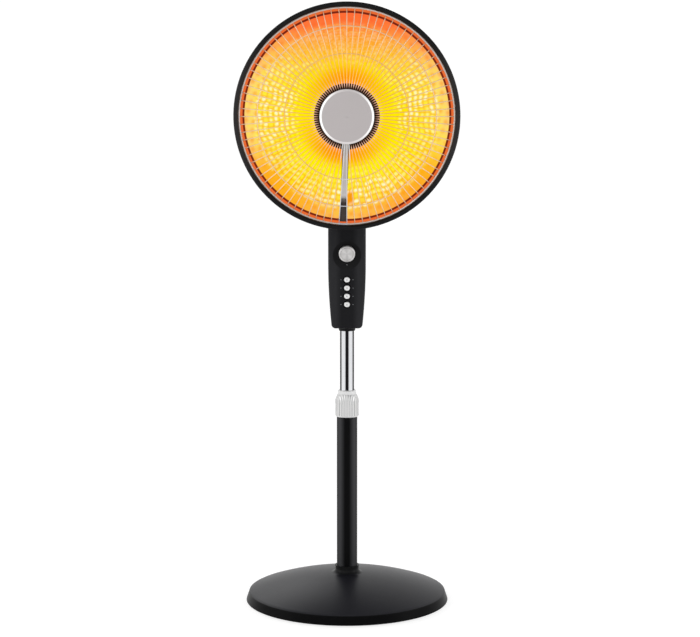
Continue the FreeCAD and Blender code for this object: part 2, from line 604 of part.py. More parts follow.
# Push buttons and the switch block behind them
flange_front = f"({wall_in} - fit)"
switch_face = f"({wall_in} - button_flange - button_travel - running)"
for index, height in enumerate(button_heights, start=1):
    spot = ("0", "0", height)
    button = padded(slot_outline("button_width", "button_height"),
                    f"box_depth / 2 + button_proud - {flange_front} + button_flange", spot, FRONT,
                    lift=f"{flange_front} - button_flange")
    rim_face = number("box_depth / 2 + button_proud - fit")
    eased(button, "button_dome", lambda edge: edge.BoundBox.ZMin > rim_face)
    flange_form = slot_outline("button_width + 2 * button_flange_lap",
                               "button_height + 2 * button_flange_lap")
    flange = padded(flange_form, "button_flange", spot, FRONT, lift=f"{flange_front} - button_flange")
    stem = cylinder("button_stem / 2", "button_travel + stem_reach + button_flange",
                    ("0", f"-{switch_face} + stem_reach", height), FRONT)
    node(fused(button, flange, stem), f"push_button_{index}")
stack = f"({COUNTS['buttons']} - 1) * button_pitch"
switch_low = f"(button_top - {stack} - switch_margin)"
switch_height = f"({stack} + 2 * switch_margin)"
switch_case = block("switch_width", "switch_depth", switch_height,
                    ("0", f"-{switch_face} + switch_depth / 2", switch_low))
lug_depth = f"({wall_in} - {switch_face} + button_travel)"
lugs = [block("switch_width", lug_depth, "switch_lug / 2", ("0", f"-{wall_in} + {lug_depth} / 2", z))
        for z in (f"{switch_low} - switch_lug / 2", f"{switch_low} + {switch_height}")]
wells = [cylinder("button_stem / 2 + running", "box_depth / 2",
                  ("0", f"-{switch_face} + stem_reach + button_travel + running", height), FRONT)
         for height in button_heights]
node(cut(fused(switch_case, *lugs), *wells), "button_switch")
tip_spot = ("0", f"{wall_in} - tip_depth / 2", "tip_bottom")
node(block("tip_width", "tip_depth", "tip_height", tip_spot), "tip_switch")
cord_r = "cord_bore / 2"
node(turned([
    (cord_r, f"{wall_in} - gland_flange_depth"),
    ("gland_nut / 2", f"{wall_in} - gland_flange_depth"),
    ("gland_nut / 2", wall_in),
    ("gland_body / 2", wall_in),
    ("gland_body / 2", "box_depth / 2"),
    ("gland_flange / 2", "box_depth / 2"),
    ("gland_flange / 2", "box_depth / 2 + gland_flange_depth"),
    ("gland_tip / 2", "box_depth / 2 + gland_flange_depth + gland_nose"),
    (cord_r, "box_depth / 2 + gland_flange_depth + gland_nose"),
], ("0", "0", "gland_height"), BACK), "cord_gland")

# Swing drive: geared motor with an off-centre shaft, crank and slotted arm
motor_top = "(motor_bottom + motor_height)"
motor_case = cylinder("motor_diameter / 2", "motor_height", ("0", "0", "motor_bottom"))
motor_foot = block("box_width - 2 * box_wall - 2 * running", "box_depth / 3", "motor_plate",
                   ("0", "0", f"{motor_top} - motor_plate"))
motor_axle = cylinder("motor_shaft / 2", f"crank_bottom - {motor_top}",
                      ("0", "motor_shaft_offset", motor_top))
node(fused(motor_case, motor_foot, motor_axle), "swing_motor")
crank_spot = ("0", "motor_shaft_offset", "crank_bottom")
crank_disc = cylinder("crank_disc / 2", "crank_thickness", crank_spot)
crank_pin = cylinder("pin_diameter / 2", "crank_thickness + pin_length",
                     ("0", "motor_shaft_offset + crank_throw", "crank_bottom"))
node(fused(crank_disc, crank_pin), "swing_crank")
arm_end = cylinder("arm_width / 2", "arm_thickness", ("0", "arm_reach - arm_width / 2", "arm_bottom"))
arm_root = cylinder("stub_diameter / 2", "arm_thickness", ("0", "0", "arm_bottom"))
arm_bar = block("arm_width", "arm_reach - arm_width / 2", "arm_thickness",
                ("0", "(arm_reach - arm_width / 2) / 2", "arm_bottom"))
arm_slot = block("slot_width", "arm_reach - pin_diameter / 2 - slot_inner", "arm_bottom",
                 ("0", "(arm_reach - pin_diameter / 2 + slot_inner) / 2", "arm_bottom - overrun"))
node(cut(fused(arm_end, arm_root, arm_bar), arm_slot), "swing_arm")

# Swivel: bearing in the box top, turret with two ears, tilt bolt, washers and knob
node(turned([
    ("stub_diameter / 2 + fit", "box_top - box_wall - overrun / 2"),
    ("stub_diameter / 2 + box_wall", "box_top - box_wall - overrun / 2"),
    ("stub_diameter / 2 + box_wall", "box_top"),
    ("bearing_flange / 2", "box_top"),
    ("bearing_flange / 2", "turret_bottom - fit"),
    ("stub_diameter / 2 + fit", "turret_bottom - fit"),
]), "swivel_bearing")
turret_top = "(turret_bottom + turret_height)"
stub = cylinder("stub_diameter / 2", "turret_bottom - arm_bottom - arm_thickness",
                ("0", "0", "arm_bottom + arm_thickness"))
turntable = eased(padded(slot_outline("turret_diameter + fit", "turret_diameter"), "turret_height",
                         ("0", "0", "turret_bottom")), "turret_height / 4",
                  lambda edge: edge.BoundBox.ZMin > number("turret_height - fit"))
yoke_half = "(ear_inner + ear_thickness)"
yoke = padded([
    ("-yoke_depth / 2", f"{turret_top} - turret_height / 2"),
    ("yoke_depth / 2", f"{turret_top} - turret_height / 2"),
    ("ear_radius", "tilt_height", "ear_radius"),
    ("-ear_radius", "tilt_height"),
], f"2 * {yoke_half}", plane="YZ_Plane", middle=True)
gap = block("2 * ear_inner", "2 * yoke_depth", "ear_radius + tilt_height - yoke_floor + overrun",
            ("0", "0", "yoke_floor"))
tilt_hole = cylinder("tilt_bolt / 2 + fit", "rim_diameter", ("-rim_diameter / 2", "0", "tilt_height"), RIGHT)
node(cut(fused(stub, turntable, yoke), gap, tilt_hole), "swivel_turret")
washer_gap = "(ear_inner - tongue_width / 2 - fit)"
TILT = ("0", "0", "tilt_height")
node(group([ring("tilt_bolt / 2 + fit", "tilt_washer / 2", low, f"{washer_gap} - fit", RIGHT, TILT)
            for low in ("tongue_width / 2 + fit", f"-tongue_width / 2 - {washer_gap}")]), "tilt_washers")
knob_start = f"({yoke_half} + tilt_knob_gap)"
bolt_end = f"{knob_start} + tilt_knob_depth / 2"
tilt_shank = cylinder("tilt_bolt / 2", f"{yoke_half} + {bolt_end}",
                      (f"-{yoke_half}", "0", "tilt_height"), RIGHT)
tilt_head = cylinder("tilt_head / 2", "tilt_head_depth",
                     (f"-{yoke_half} - tilt_head_depth", "0", "tilt_height"), RIGHT)
node(fused(tilt_shank, tilt_head), "tilt_bolt")
tilt_r = "(tilt_knob / 2)"
grip = turned([
    ("tilt_bolt / 2 + fit", f"{yoke_half} + fit"),
    ("tilt_head / 2", f"{yoke_half} + fit"),
    ("tilt_head / 2", knob_start),
    (f"{tilt_r} - tilt_knob_bevel", knob_start),
    (tilt_r, f"{knob_start} + tilt_knob_bevel"),
    (tilt_r, f"{knob_start} + tilt_knob_depth - tilt_knob_bevel"),
    (f"{tilt_r} - tilt_knob_bevel", f"{knob_start} + tilt_knob_depth"),
    ("0", f"{knob_start} + tilt_knob_depth"),
    ("0", f"{bolt_end} + fit"),
    ("tilt_bolt / 2 + fit", f"{bolt_end} + fit"),
], TILT, RIGHT)
flute_spots = [(knob_start, x, f"tilt_height + {y}")
               for x, y in around(COUNTS["knob_flutes"], f"{tilt_r} + tilt_knob_flute / 4")]
flutes = [cylinder("tilt_knob_flute / 2", "tilt_knob_depth + overrun", spot, RIGHT) for spot in flute_spots]
node(cut(grip, *flutes), "tilt_knob")

# Head back: bracket with tongue, bell cover, cut-out and terminal block
HEAD = ("0", "0", "dish_height")
plate_back = "(shell_seat - bracket_plate)"
drop = "(dish_height - tilt_height)"
carrier = cylinder("bracket_disc / 2", "bracket_plate", ("0", f"-{plate_back}", "dish_height"), FRONT)
tongue = padded([
    (f"-{plate_back} - bracket_plate / 2", "tilt_height + tongue_eye / 2"),
    (f"-{plate_back} - bracket_plate / 2", "dish_height"),
    (f"-{plate_back}", "dish_height"),
    ("tongue_depth - tongue_eye / 2", f"dish_height - {drop} / 3"),
    ("tongue_eye / 2", "tilt_height"),
    ("-tongue_eye / 2", "tilt_height"),
], "tongue_width", plane="YZ_Plane", middle=True)
eye = cylinder("tongue_eye / 2", "tongue_width", ("-tongue_width / 2", "0", "tilt_height"), RIGHT)
pin_hole = cylinder("tilt_bolt / 2 + fit", "tongue_width + 2 * overrun",
                    ("-tongue_width / 2 - overrun", "0", "tilt_height"), RIGHT)
rivet_spots = [(x, f"dish_height + {y}") for x, y in around(COUNTS["rivets"], "rivet_ring", 45)]
rivet_holes = [cylinder("rivet_diameter / 2 + fit", "shell_seat + overrun", (x, "0", z), FRONT)
               for x, z in rivet_spots]
node(cut(fused(carrier, tongue, eye), pin_hole, *rivet_holes), "head_bracket")
node(group([fused(cylinder("rivet_diameter / 2", "bracket_plate + sheet", (x, f"-{plate_back}", z), FRONT),
                  cylinder("rivet_head / 2", "rivet_head_depth", (x, f"-{plate_back}", z), BACK),
                  cylinder("rivet_head / 2", "rivet_head_depth", (x, "-shell_seat - sheet", z), FRONT))
            for x, z in rivet_spots]), "bracket_rivets")
bell_r, tail_r = "(cover_diameter / 2)", "(cover_back_diameter / 2)"
tail = "(shell_seat - cover_depth)"
bell = turned([
    (f"{bell_r} - cover_wall", "shell_seat - running"),
    (bell_r, "shell_seat - running"),
    (bell_r, "shell_seat - cover_round", "cover_depth * 2"),
    (f"{tail_r} + cover_round", f"{tail} + cover_round / 4"),
    (tail_r, tail),
    ("0", tail),
    ("0", f"{tail} + cover_wall"),
    (f"{tail_r} - cover_wall / 2", f"{tail} + cover_wall"),
    (f"{tail_r} + cover_round - cover_wall", f"{tail} + cover_round / 4 + cover_wall",
     "-cover_depth * 2 + cover_wall"),
    (f"{bell_r} - cover_wall", "shell_seat - cover_round"),
], HEAD, FRONT)
bell_slot = block("tongue_width + 2 * cover_wall", "shell_seat + cover_slot_depth", drop,
                  ("0", "(cover_slot_depth - shell_seat) / 2", "tilt_height - overrun"))
middle_vent = (COUNTS["cover_vents"] - 1) / 2
bell_vents = [block("cover_vent_length", "cover_depth", "cover_vent",
                    ("0", f"-{tail}", f"dish_height + {index - middle_vent} * cover_vent_pitch"))
              for index in range(COUNTS["cover_vents"])]
node(cut(bell, bell_slot, *bell_vents), "rear_cover")
cutout_spot = ("cutout_x", f"-{plate_back}", "dish_height")
node(cylinder("cutout_diameter / 2", "cutout_height", cutout_spot, BACK), "thermal_cutout")
terminal_spot = ("-terminal_width / 2 - bracket_plate", f"-{plate_back} + terminal_depth / 2", "dish_height")
node(block("terminal_width", "terminal_depth", "terminal_height", terminal_spot), "terminal_block")

# Dish: spun rear shell and reflector with rolled facet rows, clamped by the trim ring
flange_r = "(flange_diameter / 2)"
shell_lip = "(trim_back + trim_lip)"
reflector_lip = f"({shell_lip} + sheet)"
shell_rim = "(shell_bowl / 2)"
shell = turned([
    ("0", "shell_seat"),
    ("shell_flat / 2", "shell_seat", "shell_curve"),
    (shell_rim, shell_lip),
    (flange_r, shell_lip),
    (flange_r, f"{shell_lip} + sheet"),
    (f"{shell_rim} - sheet", f"{shell_lip} + sheet", "-shell_curve + sheet"),
    ("shell_flat / 2 - sheet / 2", "shell_seat + sheet"),
    ("0", "shell_seat + sheet"),
], HEAD, FRONT)
node(cut(shell, *rivet_holes), "rear_shell")
bowl_r = "(bowl_diameter / 2)"


def dish_level(radius):
    """Height of the reflector's front on its parabola."""
    return f"(reflector_apex + (dish_front - reflector_apex) * ({radius}) ^ 2 / {bowl_r} ^ 2)"


row_edges = [f"(facet_inner + {row} * facet_pitch)" for row in range(COUNTS["facet_rows"] + 1)]
row_curve = "((facet_pitch ^ 2 / 4 + facet_rise ^ 2) / (2 * facet_rise))"
rows = [(edge, dish_level(edge), f"-{row_curve}") for edge in row_edges[:-1]]
row_backs = [(edge, f"{dish_level(edge)} - 2 * sheet") for edge in reversed(row_edges[1:])]
gutter = f"({bowl_r} + gutter_width)"
inner_bend = f"(((dish_front - reflector_apex) * facet_inner ^ 2 / {bowl_r} ^ 2) ^ 2 + facet_inner ^ 2)"
inner_rise = f"(2 * (dish_front - reflector_apex) * facet_inner ^ 2 / {bowl_r} ^ 2)"
inner_curve = f"({inner_bend} / {inner_rise})"
node(turned([
    ("0", dish_level("0"), inner_curve),
    *rows,
    (row_edges[-1], dish_level(row_edges[-1])),
    (bowl_r, "dish_front"),
    (bowl_r, "dish_front - gutter_depth"),
    (gutter, "dish_front - gutter_depth"),
    (gutter, "dish_front"),
    (flange_r, "dish_front"),
    (flange_r, reflector_lip),
    (f"{gutter} + sheet", reflector_lip),
    (f"{gutter} + sheet", "dish_front - gutter_depth - sheet"),
    (f"{bowl_r} - sheet", "dish_front - gutter_depth - sheet"),
    *row_backs,
    ("facet_inner", f"{dish_level('facet_inner')} - 2 * sheet", f"-{inner_curve} - 2 * sheet"),
    ("0", f"{dish_level('0')} - 2 * sheet"),
], HEAD, FRONT), "reflector")
rim_r, lip_r = "(rim_diameter / 2)", "(rim_lip_diameter / 2)"
nose_back = "(dish_front + guard_rim_wire + 2 * fit)"
nose_front = f"({nose_back} + trim_nose)"
node(turned([
    (f"{flange_r} - trim_lip", "trim_back"),
    (rim_r, "trim_back"),
    (rim_r, f"{nose_front} - trim_round", "trim_round"),
    (f"{rim_r} - trim_round", nose_front),
    (f"{lip_r} + trim_round", nose_front, "trim_round"),
    (lip_r, f"{nose_front} - trim_round"),
    (lip_r, nose_back),
    (f"{flange_r} + running", nose_back),
    (f"{flange_r} + running", f"{shell_lip} - fit"),
    (f"{flange_r} - trim_lip", f"{shell_lip} - fit"),
], HEAD, FRONT), "trim_ring")

# Domed guard: straight-drawn wires in short spans over a ball, welded to four rings
count, spans = COUNTS["wires"], COUNTS["wire_spans"]
ball_r, ball_centre = number("guard_ball"), number("guard_centre")
step = 2 * math.pi / count


def on_ball(radius, depth=0):
    """Radius and height of a point set in from the ball by a depth."""
    share = (ball_r - depth) / ball_r
    return radius * share, ball_centre + math.sqrt(ball_r ** 2 - radius ** 2) * share


def guard_ring(diameter, wire, depth=0):
    """A wire ring with one straight side under each radial wire."""
    radius, level = on_ball(number(diameter) / 2, depth)
    corner_r = radius / math.cos(step / 2)
    angles = [step * (side + 1 / 2) for side in range(count)]
    corners = [Vector(corner_r * math.cos(angle), corner_r * math.sin(angle), level) for angle in angles]
    middle = (corners[0] + corners[-1]) * 0.5
    return tube_along([middle, *corners, middle], number(wire) / 2)


hub_angle, rim_angle = [math.asin(number(size) / 2 / ball_r) for size in ("guard_hub", "guard_rim")]
tilts = [hub_angle + (rim_angle - hub_angle) * span / spans for span in range(spans + 1)]
spoke_points = [Vector(radius, 0, level)
                for radius, level in (on_ball(ball_r * math.sin(tilt)) for tilt in tilts)]
spoke = tube_along(spoke_points, number("guard_wire") / 2)
spokes = []
for index in range(count):
    turned_spoke = spoke.copy()
    turned_spoke.rotate(Vector(), Vector(0, 0, 1), math.degrees(step) * index)
    spokes.append(turned_spoke)
ring_set = number("guard_ring_set")
hoops = [guard_ring("guard_hub", "guard_hub_wire"), guard_ring("guard_ring_inner", "guard_wire", ring_set),
         guard_ring("guard_ring_outer", "guard_wire", ring_set), guard_ring("guard_rim", "guard_rim_wire")]
guard = doc.addObject("Part::Feature", "Guard")
guard.Shape = hoops[0].multiFuse(hoops[1:] + spokes).Solids[0]
place(guard, HEAD, FRONT)
node(guard, "guard")

# Centre cap clamped to the guard's hub ring by a back plate and a screw
cap_r = "(cap_diameter / 2)"
cap_face = "(cap_back + cap_edge + cap_bevel / 2)"
face_r = f"({cap_r} - cap_bevel)"
cap_ball = f"(({face_r} ^ 2 + cap_rise ^ 2) / (2 * cap_rise))"
backplate_back = "(backplate_front - backplate_thickness)"
node(turned([
    ("cap_screw / 2 + fit", "backplate_front + fit"),
    ("cap_post / 2", "backplate_front + fit"),
    ("cap_post / 2", f"{cap_face} - cap_wall"),
    (f"{face_r} - cap_wall / 2", f"{cap_face} - cap_wall"),
    (f"{cap_r} - cap_wall", "cap_back + cap_edge - cap_wall / 2"),
    (f"{cap_r} - cap_wall", "cap_back"),
    (cap_r, "cap_back"),
    (cap_r, "cap_back + cap_edge"),
    (face_r, cap_face, cap_ball),
    ("0", f"{cap_face} + cap_rise"),
    ("0", f"{cap_face} - cap_wall"),
    ("cap_screw / 2 + fit", f"{cap_face} - cap_wall"),
], HEAD, FRONT), "guard_cap")
node(ring("cap_screw / 2 + fit", "backplate_diameter / 2", backplate_back, "backplate_thickness",
          FRONT, HEAD), "cap_backplate")
cap_shank = cylinder("cap_screw / 2", f"{cap_face} - cap_wall - {backplate_back} - running",
                     ("0", f"-{backplate_back}", "dish_height"), FRONT)
cap_head = cylinder("cap_screw_head / 2", "screw_head_depth",
                    ("0", f"-{backplate_back}", "dish_height"), BACK)
node(fused(cap_shank, cap_head), "cap_screw")

# Heating element: channel strut, cover strip, shield cup, ceramic core, coil, bolt and leads
# The strut leans by half the step between two guard wires, so that it lies in the gap between them
LEAN = Rotation(Vector(0, 1, 0), 180 / COUNTS["wires"])
strut_back = "(strut_front - strut_depth)"
toe_back = "(dish_front + fit)"


def strut_line(radius, lower, upper):
    """Height on the strut's bent part, between its level at the bend and at the foot."""
    return f"({upper} - ({upper} - {lower}) * ({radius} - strut_bend) / (strut_foot - strut_bend))"


def strut_profile(low_bend, low_foot, high_bend, high_foot, top="strut_rise"):
    """Side view of a piece of the strut, in front distance against height."""
    return [(f"-{low_bend}", top), (f"-{low_bend}", "-strut_bend"), (f"-{low_foot}", "-strut_foot"),
            (f"-{high_foot}", "-strut_foot"), (f"-{high_bend}", "-strut_bend"), (f"-{high_bend}", top)]


strut = padded(strut_profile(strut_back, toe_back, "strut_front", f"({toe_back} + strut_toe)"),
               "strut_width", HEAD, LEAN, plane="YZ_Plane", middle=True)
pocketed(strut, strut_profile(f"({strut_back} + strut_wall)", f"({toe_back} + strut_wall)",
                              "(strut_front + overrun)", f"({toe_back} + strut_toe + overrun)",
                              "strut_rise + overrun"),
         "strut_width - 2 * strut_wall", plane="YZ_Plane", middle=True)
bolt_run = cylinder("element_bolt / 2 + fit", "strut_front", ("0", "0", "dish_height"), FRONT)
node(cut(strut, bolt_run), "element_strut")
strip_front = strut_line("strip_end", f"({toe_back} + strut_toe)", "strut_front")
node(padded([
    ("-strut_front + strip_thickness", "strut_rise"),
    ("-strut_front + strip_thickness", "-strut_bend"),
    (f"-{strip_front} + strip_thickness", "-strip_end"),
    (f"-{strip_front}", "-strip_end"),
    ("-strut_front", "-strut_bend"),
    ("-strut_front", "strut_rise"),
], "strut_width - 2 * strut_wall - 2 * fit", HEAD, LEAN, plane="YZ_Plane", middle=True), "strut_cover")
shield_r = "(shield_diameter / 2)"
shield_front = f"({strut_back} - fit)"
node(turned([
    ("element_bolt / 2 + fit", f"{shield_front} - sheet"),
    (f"{shield_r} - shield_round", f"{shield_front} - sheet", "-shield_round + sheet"),
    (f"{shield_r} - sheet", f"{shield_front} - shield_round"),
    (f"{shield_r} - sheet", f"{shield_front} - shield_skirt"),
    (shield_r, f"{shield_front} - shield_skirt"),
    (shield_r, f"{shield_front} - shield_round", "shield_round"),
    (f"{shield_r} - shield_round", shield_front),
    ("element_bolt / 2 + fit", shield_front),
], HEAD, FRONT), "element_shield")
core_front = f"({shield_front} - sheet - fit)"
core_r = "(core_diameter / 2)"
node(turned([
    ("element_bolt / 2 + fit", "core_back"),
    ("core_end / 2", "core_back"),
    ("core_end / 2", "core_back + core_flange_depth / 2"),
    (core_r, "core_back + core_flange_depth / 2"),
    (core_r, f"{core_front} - core_flange_depth"),
    ("core_flange / 2", f"{core_front} - core_flange_depth"),
    ("core_flange / 2", core_front),
    ("element_bolt / 2 + fit", core_front),
], HEAD, FRONT), "ceramic_core")


def helix_arcs(radius, pitch, turns, start):
    """Half turns of a screw line as pairs of arcs that share their tangents."""
    rise = pitch / (2 * math.pi)

    def spot(angle):
        return Vector(radius * math.cos(angle), radius * math.sin(angle), start + rise * angle)

    def heading(angle):
        return Vector(-radius * math.sin(angle), radius * math.cos(angle), rise).normalize()

    edges = []
    for half in range(4 * turns):
        near, far = half * math.pi / 2, (half + 1) * math.pi / 2
        chord, sum_way = spot(far) - spot(near), heading(near) + heading(far)
        a = 2 * (1 - heading(near).dot(heading(far)))
        b = 2 * chord.dot(sum_way)
        reach = (-b + math.sqrt(b ** 2 + 4 * a * chord.dot(chord))) / (2 * a)
        first, second = spot(near) + heading(near) * reach, spot(far) - heading(far) * reach
        joint = (first + second) * 0.5
        for begin, end, way in ((spot(near), joint, heading(near)), (joint, spot(far), second - joint)):
            edges.append(Part.Arc(begin, arc_middle(begin, end, way), end).toShape())
    return edges, spot(0), heading(0), spot(4 * turns * math.pi / 2), heading(4 * turns * math.pi / 2)


def arc_middle(begin, end, way):
    """Middle point of the arc that leaves a point along a given way."""
    chord = end - begin
    way = Vector(way).normalize()
    angle = way.getAngle(chord)
    side = way - chord * (way.dot(chord) / chord.dot(chord))
    return (begin + end) * 0.5 + side.normalize() * (chord.Length / 2 * math.tan(angle / 2))


wire_r = number("coil_wire / 2")
coil_r = number(f"{core_r} + coil_wire / 2 + running")
pitch, tail_length = number("coil_pitch"), number("coil_tail")
coil_start = number("core_back + core_flange_depth / 2 + coil_wire + running")
arcs, first, first_way, last, last_way = helix_arcs(coil_r, pitch, COUNTS["coil_turns"], coil_start)
leading = Part.makeLine(first - first_way * tail_length, first)
trailing = Part.makeLine(last, last + last_way * tail_length)
coil_path = Part.Wire([leading, *arcs, trailing])
coil_section = Part.Wire(Part.makeCircle(wire_r, first - first_way * tail_length, first_way))
coil = doc.addObject("Part::Feature", "Coil")
coil.Shape = coil_path.makePipeShell([coil_section], True, False)
place(coil, HEAD, FRONT)
node(coil, "heating_coil")
slope = math.cos(math.atan(pitch / (2 * math.pi * coil_r)))
print("coil gap to itself", round(pitch * slope - 2 * wire_r, 2))

bolt_top = f"({strut_back} + strut_wall)"
element_shank = cylinder("element_bolt / 2", f"{bolt_top} - core_back + rivet_head_depth",
                         ("0", "-core_back + rivet_head_depth", "dish_height"), FRONT)
element_head = cylinder("element_head / 2", "rivet_head_depth", ("0", f"-{bolt_top}", "dish_height"), FRONT)
element_nut = cylinder("element_nut / 2", "rivet_head_depth", ("0", "-core_back", "dish_height"), BACK)
node(fused(element_shank, element_head, element_nut), "element_bolt")
lead_low, lead_high = f"({toe_back} + strut_wall + fit)", f"({bolt_top} + fit)"
lead_half = "lead_diameter / 2"
leads = [padded([
    (f"-{lead_high} - rivet_head_depth", "-element_head"),
    (f"-{lead_high}", "-element_head"),
    (f"-{lead_high}", "-strut_bend"),
    (f"-{lead_low}", "-strut_foot"),
    (f"-{lead_low} - {lead_half}", "-strut_foot"),
    (f"-{lead_high} - rivet_head_depth", "-strut_bend"),
], "lead_diameter", HEAD, LEAN, "YZ_Plane", f"{side} * (lead_diameter / 2 + fit)", True) for side in (-1, 1)]
node(group(leads), "element_leads")

# Check every object, then write one file for each piece
doc.recompute()
for thing in doc.Objects:
    if "Invalid" in thing.State or "Error" in thing.State:
        raise RuntimeError(f"{thing.Label} did not compute: {thing.State}")
os.makedirs("parts", exist_ok=True)
for thing in nodes:
    if thing.Shape.isNull() or not thing.Shape.isValid() or not thing.Shape.Solids:
        raise RuntimeError(f"{thing.Label} is not a valid solid")
    thing.Shape.exportStep(f"parts/{thing.Label}.step")
    print(thing.Label, len(thing.Shape.Solids), round(thing.Shape.Volume))
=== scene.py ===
import math

import bpy
import numpy as np
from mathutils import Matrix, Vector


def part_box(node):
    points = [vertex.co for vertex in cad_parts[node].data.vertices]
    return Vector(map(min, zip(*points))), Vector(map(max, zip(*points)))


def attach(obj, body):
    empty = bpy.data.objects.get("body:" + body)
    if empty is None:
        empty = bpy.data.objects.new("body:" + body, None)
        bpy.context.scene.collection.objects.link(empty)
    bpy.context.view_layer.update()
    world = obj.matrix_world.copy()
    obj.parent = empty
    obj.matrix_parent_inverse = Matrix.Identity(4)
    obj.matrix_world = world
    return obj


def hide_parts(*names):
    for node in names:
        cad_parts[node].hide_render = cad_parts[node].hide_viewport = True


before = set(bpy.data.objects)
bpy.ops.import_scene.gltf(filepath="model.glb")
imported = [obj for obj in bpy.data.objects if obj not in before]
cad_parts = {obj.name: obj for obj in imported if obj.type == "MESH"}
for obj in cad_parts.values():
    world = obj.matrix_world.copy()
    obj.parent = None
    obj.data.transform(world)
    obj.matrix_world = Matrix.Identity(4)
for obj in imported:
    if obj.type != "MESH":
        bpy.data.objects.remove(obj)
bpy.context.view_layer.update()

bl_info = {
    "name": "Dish heater dresser",
    "version": (1, 0, 0),
    "blender": (4, 5, 0),
    "location": "View3D > Sidebar > Heater",
    "description": "Gives a packed dish heater its reflector facets, printed marks and finishes",
    "category": "Object",
}

MM = 0.001
BUTTONS = range(1, 5)
GUARD_WIRES = 84
COLLAR_RIBS = 36
SENSOR_WIDTH = 36
WHITE = (1, 1, 1, 1)

# Fine noise of each surface: its scale, the roughness from and to, its depth and how it is stretched along each axis.
GRAINS = {
    "mould": (1400, 0.3, 0.42, 0.03 * MM),
    "paint": (520, 0.26, 0.4, 0.02 * MM),
    "satin": (520, 0.3, 0.42, 0.02 * MM),
    "rubber": (900, 0.7, 0.9, 0.05 * MM),
    "cast": (260, 0.6, 0.85, 0.3 * MM),
    "ink_and_skirt_shade": (2400, 0.42, 0.6, 0.01 * MM),
    "brushed": (900, 0.34, 0.46, 0.01 * MM, (0.05, 1, 1)),
    "chrome": (300, 0.08, 0.16, 0.002 * MM, (1, 1, 0.1)),
    "plated": (700, 0.26, 0.4, 0.01 * MM),
    "zinc": (800, 0.3, 0.5, 0.02 * MM),
    "strut": (500, 0.3, 0.5, 0.02 * MM, (1, 1, 0.08)),
    "strip": (500, 0.25, 0.42, 0.02 * MM, (1, 1, 0.08)),
    "shield_grain": (160, 0.45, 0.7, 0.03 * MM),
    "collar": (900, 0.26, 0.4, 0.02 * MM),
    "button": (1600, 0.2, 0.34, 0.01 * MM),
    "natural": (900, 0.45, 0.6, 0.03 * MM),
    "fired": (420, 0.6, 0.85, 0.08 * MM),
    "coil": (900, 0.5, 0.7, 0.02 * MM),
    "paper": (40, 0.75, 0.85, 0.01 * MM),
}
NOISE_DETAIL, NOISE_STRENGTH = 4, 0.35

# Painted light and dark fans of reflection on spun metal: how far round each lies and its share of the tone.
PAINTED_FANS = ((0.0, 0.8), (0.1, 1.0), (0.22, 0.74), (0.36, 0.96), (0.5, 0.78), (0.62, 1.0), (0.74, 0.72), (0.87, 0.95),
             (1.0, 0.8))

# Soft lights: name, place and width. All of them look at one point above the floor.
LIGHTS = (("key", (-1.4, -2.2, 2.6), 1.6), ("left", (-2.2, -0.4, 1.1), 1.2), ("right", (2.2, -0.6, 1.0), 1.2),
          ("back", (-0.9, 2.4, 1.8), 1.2))
LIGHT_AIM = (0, 0, 0.6)
BEND_STEPS, FLOOR_SECTORS = 12, 64

# Printed pads: points round one, and how far its edge stands off, as a share of the crown's height above the edge.
PAD_SECTORS, PAD_FOOT = 24, 0.6

# Fine rings on the spun knob: how many, how uneven, how strong and how deep.
KNOB_RINGS, RING_WOBBLE, RING_STRENGTH, RING_DEPTH = 900, 0.4, 0.12, 0.03 * MM

# Rings of the reflector's mesh in its plain inner part, its plain outer part and its flange.
INNER_RINGS, OUTER_RINGS, FLANGE_RINGS = 14, 8, 4

# How the facets wander, in rows and cells: the waves along the rows (size, waves in a turn, start), the zigzag overhead
# with its width in cells, the shift of every other row, and each row's drift (size, waves in a turn, start per row).
ROW_WAVES = ((0.22, 9, 0.4), (0.16, 23, 1.1))
ZIGZAG, ZIGZAG_CELLS, BRICK_SHIFT, DRIFT, DRIFT_WAVES, DRIFT_START = 0.3, 4, 0.5, 0.3, 7, 2

# Where the dish's painted light changes, as shares of the bowl's radius.
TONES_AT, HEART_SPAN, DENTS_FROM, TOP_SPAN = (0.58, 0.84, 1.0), (0.38, 0.56), 0.87, (0.3, 1.0)
BETWEEN_SPAN, FOOT_SPAN = (0.5, 0.7), (0.72, 0.95)
# The same round the dish, by the cosine of the angle from the top, or from the foot.
OVERHEAD_TURN, FOOT_TURN, LATE_TURN = (0.1, 0.9), (0.15, 0.6), (0.2, 0.8)

# How much of each painted tone is mixed into the smooth dish: the heart all round, up and down and to the lower
# left, the dents, the red top, the yellow between the lobes, and the orange foot with what its two sides have more.
HEART_ROUND, HEART_UPRIGHT, HEART_LOWER_LEFT = 0.1, 0.9, 0.5
DENT_DARK, DENT_LIGHT, TOP_PART, BETWEEN_PART, FOOT_PART, FOOT_SIDES = 0.6, 0.4, 0.92, 0.6, 0.38, 0.38

# The facets' painted light: rows where they begin and how much later at the foot, how strong their highlights are
# (in all, in the lobes, in a wave), a highlight's place, height and width, which facets have one, and how much of each
# tone is mixed in.
BEGIN_SPAN, LATE_ROWS = (-0.2, 3.4), 2
PATCH, PATCH_LOBES, PATCH_WAVE, PATCH_WAVES, PATCH_TWIST = 0.66, 0.42, 0.12, 11, 0.7
SPOT_WANDER, SPOT_TALL, SPOT_WIDE, SPARK_GAIN, SPARK_SPAN = 0.6, 0.14, 0.4, 3.2, (0.1, 0.7)
SEAM_PART, GLINT_PART, ARC_PART, ARC_SPAN = 0.7, 0.6, 0.6, (0.66, 1.0)
FIRST_SHINE, OVERHEAD_SHINE, FIRST_GLINT = 0.1, 0.3, 0.3


def middle(node):
    """Middle of a CAD node's box."""
    low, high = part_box(node)
    return (np.array(low) + np.array(high)) / 2


